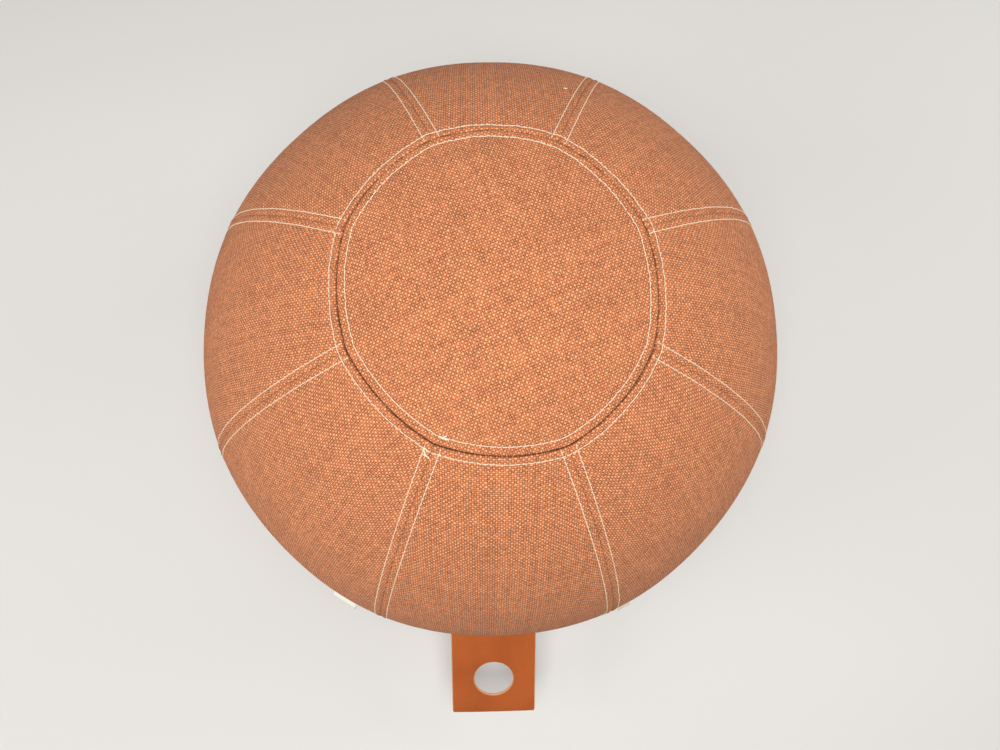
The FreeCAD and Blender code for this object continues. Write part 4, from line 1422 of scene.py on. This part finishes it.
def dots_piece(small, radius, finish):
    """Low rubber domes in rows under the foot."""
    step = small.dot_pitch
    apart = step * sqrt(3) / 2
    rows = int(radius / apart) + 1
    limit = radius - small.foot_row - 2 * small.dot_radius
    grid = [((i + 0.5 * (j % 2)) * step, j * apart) for j in range(-rows, rows) for i in range(-rows, rows)]
    places = np.array([(x, y, small.dot_height) for x, y in grid if sqrt(x * x + y * y) < limit])
    sides = 10
    around = np.linspace(0, 2 * pi, sides, endpoint=False)
    rings = [(1.0, 0.0), (0.86, 0.5), (0.5, 0.9)]
    dome = [(r * cos(t), r * sin(t), h) for r, h in rings for t in around] + [(0, 0, 1.0)]
    last = (len(rings) - 1) * sides
    faces = turned_over(grid_faces(len(rings), sides, wrap=True))
    faces += [[last + j, last + (j + 1) % sides, last + sides] for j in range(sides)]
    faces.append(list(range(sides))[::-1])
    count = len(places)
    forward = np.tile([1.0, 0, 0], (count, 1))
    sizes = np.tile([small.dot_radius, small.dot_radius, small.dot_height], (count, 1))
    lump = Lump()
    scatter(lump, (np.array(dome), faces), places, forward, np.tile(-UP, (count, 1)), sizes)
    lump.piece("grip_dots", finish, "base_fabric", "pouf")


def foot_pieces(form, cloth, rubber, thread_finish):
    """The non-slip panel under the pouf, its rubber dots and the row of stitches inside its rim."""
    small = form.pouf.small
    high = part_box("base_panel")[1]
    radius = high.x
    top = high.z
    under = small.dot_height - 0.1 * MILLIMETRE
    middle = (top + under) / 2
    half = (top - under) / 2
    rim = 0.0012
    turns = np.linspace(pi / 2, -pi / 2, 9)
    rounding = [(radius - rim + rim * cos(t), middle + half * sin(t)) for t in turns]
    rings = np.linspace(0, radius - 2 * rim, 12)
    profile = [(r, top) for r in rings] + rounding + [(r, under) for r in rings[::-1]]
    disc_piece("foot_cloth", "base_panel", cloth, "base_fabric", profile, 128)
    dots_piece(small, radius, rubber)
    sewn = SewnRows(form, seed=61)
    inside = radius - small.foot_row
    low = under + 0.2 * form.pouf.sewing.thread
    turn = dense(0, 2 * pi, radius)
    line = np.column_stack([inside * np.cos(turn), inside * np.sin(turn), np.full(len(turn), low)])
    sewn.along(line, inside * turn, np.tile(-UP, (len(line), 1)))
    sewn.piece("foot_stitches", thread_finish)


def lining_piece(finish):
    """The felt disc over the weight."""
    low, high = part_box("base_lining")
    rim = 0.0006
    rings = np.linspace(0, high.x - rim, 8)
    edge = [(high.x, (low.z + high.z) / 2)]
    profile = [(r, high.z) for r in rings] + edge + [(r, low.z) for r in rings[::-1]]
    disc_piece("lining_felt_disc", "base_lining", finish, "base_lining", profile, 96)


def bladder_piece(form, finish):
    """The inflated bladder: ribbed outside, flat on the lining, with a neck for its plug."""
    small = form.pouf.small
    low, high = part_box("air_bladder")
    sides = 72
    outer = high.z - form.centre
    inner = outer - small.bladder_wall
    mouth = asin(small.plug_recess / outer)
    spread = np.linspace(mouth, pi, small.ribs * 4 + 1)
    fade = 0.1
    waves = 0.5 - 0.5 * np.cos(spread * small.ribs * 2)
    ribs = small.rib_depth * waves * smooth((spread - mouth) / fade)
    profile = [((outer - r) * sin(t), (outer - r) * cos(t)) for t, r in zip(spread, ribs)]
    profile[-1] = (0.0, -outer)
    throat = asin(small.neck_radius / inner)
    back = [(inner * sin(t), inner * cos(t)) for t in np.linspace(pi, throat, 33)]
    back[0] = (0.0, -inner)
    neck_end = outer - small.neck_length
    seat = outer - small.plug_depth
    neck = [(small.neck_radius, neck_end), (small.neck_bore, neck_end), (small.neck_bore, seat)]
    recess = [(small.plug_recess, seat)]
    lump = Lump()
    revolved(lump, profile, sides)
    outer_count = lump.count
    revolved(lump, back + neck + recess, sides)
    out = Vector((0, sin(form.waist), cos(form.waist)))
    turn = np.array(Vector(UP).rotation_difference(out).to_matrix())
    points = np.concatenate(lump.points) @ turn.T + form.middle
    points[:outer_count, 2] = np.maximum(points[:outer_count, 2], low.z)
    points[outer_count:, 2] = np.maximum(points[outer_count:, 2], low.z + small.bladder_wall)
    lump.points = [points]
    last = lump.count - sides
    lump.bridge([[j, (j + 1) % sides, last + (j + 1) % sides, last + j] for j in range(sides)])
    made = lump.piece("bladder_ball", finish, "bladder", "pouf", ["air_bladder"])


def coat(node, finish):
    """Gives a construction piece that shows as it is its finish."""
    made = frame["nodes"][node]
    made.data.materials.clear()
    made.data.materials.append(finish)


# Studio

def soft_light(context, name, place, power):
    """A square soft light that faces the ball."""
    lamp = bpy.data.lights.new(name, "AREA")
    lamp.shape = "SQUARE"
    lamp.size = LIGHT_SIZE
    lamp.energy = power
    light = bpy.data.objects.new(name, lamp)
    light.location = place
    light.rotation_mode = "QUATERNION"
    light.rotation_quaternion = (LIGHT_AIM - Vector(place)).to_track_quat("-Z", "Y")
    context.scene.collection.objects.link(light)


def surroundings(context, strength, shown):
    """Even light from all round, which looks pale to the camera and dim to the pouf."""
    world = bpy.data.worlds.new("studio")
    world.use_nodes = True
    tree = world.node_tree
    look = Finish("surroundings", tree)
    warm = (1.0, 0.985, 0.96)
    dim = [strength * level for level in warm]
    tree.links.new(look.mix(look.seen(), dim, shown).socket, tree.nodes["Background"].inputs["Color"])
    context.scene.world = world


def camera(context, stage):
    """The camera over the front of the pouf, looking nearly straight down."""
    lens = bpy.data.cameras.new("camera")
    lens.sensor_width = 36.0
    lens.lens = stage.lens
    lens.clip_start = 0.01
    eye = bpy.data.objects.new("camera", lens)
    look = Matrix.Rotation(stage.roll, 3, "Z") @ Matrix.Rotation(stage.tilt, 3, "X")
    look = (look @ Matrix.Rotation(stage.yaw, 3, "Y")).transposed()
    eye.matrix_world = Matrix.Translation(stage.eye) @ look.to_4x4()
    context.scene.collection.objects.link(eye)
    context.scene.camera = eye


# Operators

class PieceOperator:
    """Makes pieces from the scene's settings; each operator says which."""

    def execute(self, context):
        pouf = context.scene.pouf
        self.build(pouf, CoverForm(pouf))
        return {"FINISHED"}


class POUF_OT_cover(PieceOperator, bpy.types.Operator):
    """Sew the seat, side and lower panels round the ball"""

    bl_idname = "pouf.cover"
    bl_label = "Cover panels"

    def build(self, pouf, form):
        cloth = cover_cloth(pouf)
        seat_piece(form, cloth)
        for above in (True, False):
            for number in range(pouf.cover.panels):
                panel_piece(form, number, above, cloth)


class POUF_OT_topstitching(PieceOperator, bpy.types.Operator):
    """Sew the rows of stitches beside the seams and the zip"""

    bl_idname = "pouf.topstitching"
    bl_label = "Topstitching"

    def build(self, pouf, form):
        thread = sewing_thread(pouf)
        for sew in (sew_ring, sew_sides, sew_lower, sew_waist):
            sew(form, thread)


class POUF_OT_pull_tab(PieceOperator, bpy.types.Operator):
    """Cut the leather pull tab with its finger hole"""

    bl_idname = "pouf.pull_tab"
    bl_label = "Pull tab"

    def build(self, pouf, form):
        tab_piece(form, tan_leather(pouf))


class POUF_OT_labels(PieceOperator, bpy.types.Operator):
    """Sew the two plain labels into the waist"""

    bl_idname = "pouf.labels"
    bl_label = "Labels"

    def build(self, pouf, form):
        small = pouf.small
        white = ribbon_cloth("white ribbon", pouf.colours.label)
        cream = ribbon_cloth("cream ribbon", pouf.colours.small_label)
        label_piece(form, "wide_label", "care_label", small.care_azimuth, small.care_width, white)
        label_piece(form, "narrow_label", "size_label", small.size_azimuth, small.size_width, cream)


class POUF_OT_zip(PieceOperator, bpy.types.Operator):
    """Fit the zip round the waist, with its slider and pull"""

    bl_idname = "pouf.zip"
    bl_label = "Zip"

    def build(self, pouf, form):
        nylon = zip_nylon(pouf)
        metal = brushed_metal(pouf)
        tape = zip_tape_cloth(pouf)
        for side in (1, -1):
            coil_piece(form, side, nylon)
        coat("upper_zip_tape", tape)
        coat("lower_zip_tape", tape)
        coat("zip_stops", metal)
        slider_piece(form, metal)
        pull_piece(form, tan_leather(pouf), sewing_thread(pouf))


class POUF_OT_foot(PieceOperator, bpy.types.Operator):
    """Lay the non-slip foot, its weight and the felt over it"""

    bl_idname = "pouf.foot"
    bl_label = "Foot"

    def build(self, pouf, form):
        cloth = plain_weave("foot cloth", pouf.colours.foot, 0.0016, 0.0003)
        rubber = moulded("grip rubber", pouf.colours.dots, 0.6, 500.0)
        foot_pieces(form, cloth, rubber, sewing_thread(pouf))
        coat("base_weight", moulded("weight rubber", pouf.colours.rubber, 0.7, 300.0))
        lining_piece(pressed_felt(pouf))


class POUF_OT_inside(PieceOperator, bpy.types.Operator):
    """Put in the bladder, its plug and the tapes behind the seams"""

    bl_idname = "pouf.inside"
    bl_label = "Bladder and seam tapes"

    def build(self, pouf, form):
        bladder_piece(form, moulded("bladder vinyl", pouf.colours.bladder, 0.42, 200.0))
        coat("valve_plug", moulded("valve plastic", pouf.colours.valve, 0.36, 400.0))
        cotton = plain_weave("seam tape cotton", pouf.colours.tape, 0.0011, 0.0002)
        for node in ("side_seam_tapes", "lower_seam_tapes", "ring_seam_tape"):
            coat(node, cotton)


class POUF_OT_stage(bpy.types.Operator):
    """Set up the floor, the soft light and the camera"""

    bl_idname = "pouf.stage"
    bl_label = "Studio"

    def execute(self, context):
        pouf = context.scene.pouf
        stage = pouf.stage
        reach = 6.0
        corners = [(-reach, -reach, 0), (reach, -reach, 0), (reach, reach, 0), (-reach, reach, 0)]
        mesh = bpy.data.meshes.new("studio_floor")
        mesh.from_pydata(corners, [], [[0, 1, 2, 3]])
        mesh.materials.append(studio_floor(pouf))
        ground = bpy.data.objects.new("studio_floor", mesh)
        context.scene.collection.objects.link(ground)
        soft_light(context, "overhead light", (-0.05, -0.45, 2.3), stage.key_power)
        soft_light(context, "left light", (-1.9, -0.5, 1.4), stage.fill_power)
        soft_light(context, "right light", (1.9, 0.5, 1.4), stage.fill_power)
        surroundings(context, stage.ambient, pouf.colours.floor)
        camera(context, stage)
        context.scene.view_settings.view_transform = "Standard"
        return {"FINISHED"}


class POUF_PT_sidebar(bpy.types.Panel):
    """Lists the pieces of the pouf"""

    bl_label = "Ball pouf"
    bl_idname = "POUF_PT_sidebar"
    bl_space_type = "VIEW_3D"
    bl_region_type = "UI"
    bl_category = "Pouf"

    def draw(self, context):
        for operator in OPERATORS:
            self.layout.operator(operator.bl_idname)


GROUPS = (CoverSizes, SewingSizes, TabSizes, ZipSizes, SmallSizes, Colours, StageSettings, PoufSettings)
OPERATORS = (
    POUF_OT_cover,
    POUF_OT_topstitching,
    POUF_OT_pull_tab,
    POUF_OT_labels,
    POUF_OT_zip,
    POUF_OT_foot,
    POUF_OT_inside,
    POUF_OT_stage,
)
CLASSES = (*GROUPS, *OPERATORS, POUF_PT_sidebar)


def register():
    for kind in CLASSES:
        bpy.utils.register_class(kind)
    bpy.types.Scene.pouf = PointerProperty(type=PoufSettings)


def unregister():
    del bpy.types.Scene.pouf
    for kind in reversed(CLASSES):
        bpy.utils.unregister_class(kind)


def main():
    register()
    bpy.ops.pouf.cover()
    bpy.ops.pouf.topstitching()
    bpy.ops.pouf.pull_tab()
    bpy.ops.pouf.labels()
    bpy.ops.pouf.zip()
    bpy.ops.pouf.foot()
    bpy.ops.pouf.inside()
    bpy.ops.pouf.stage()


if __name__ == "__main__":
    main()
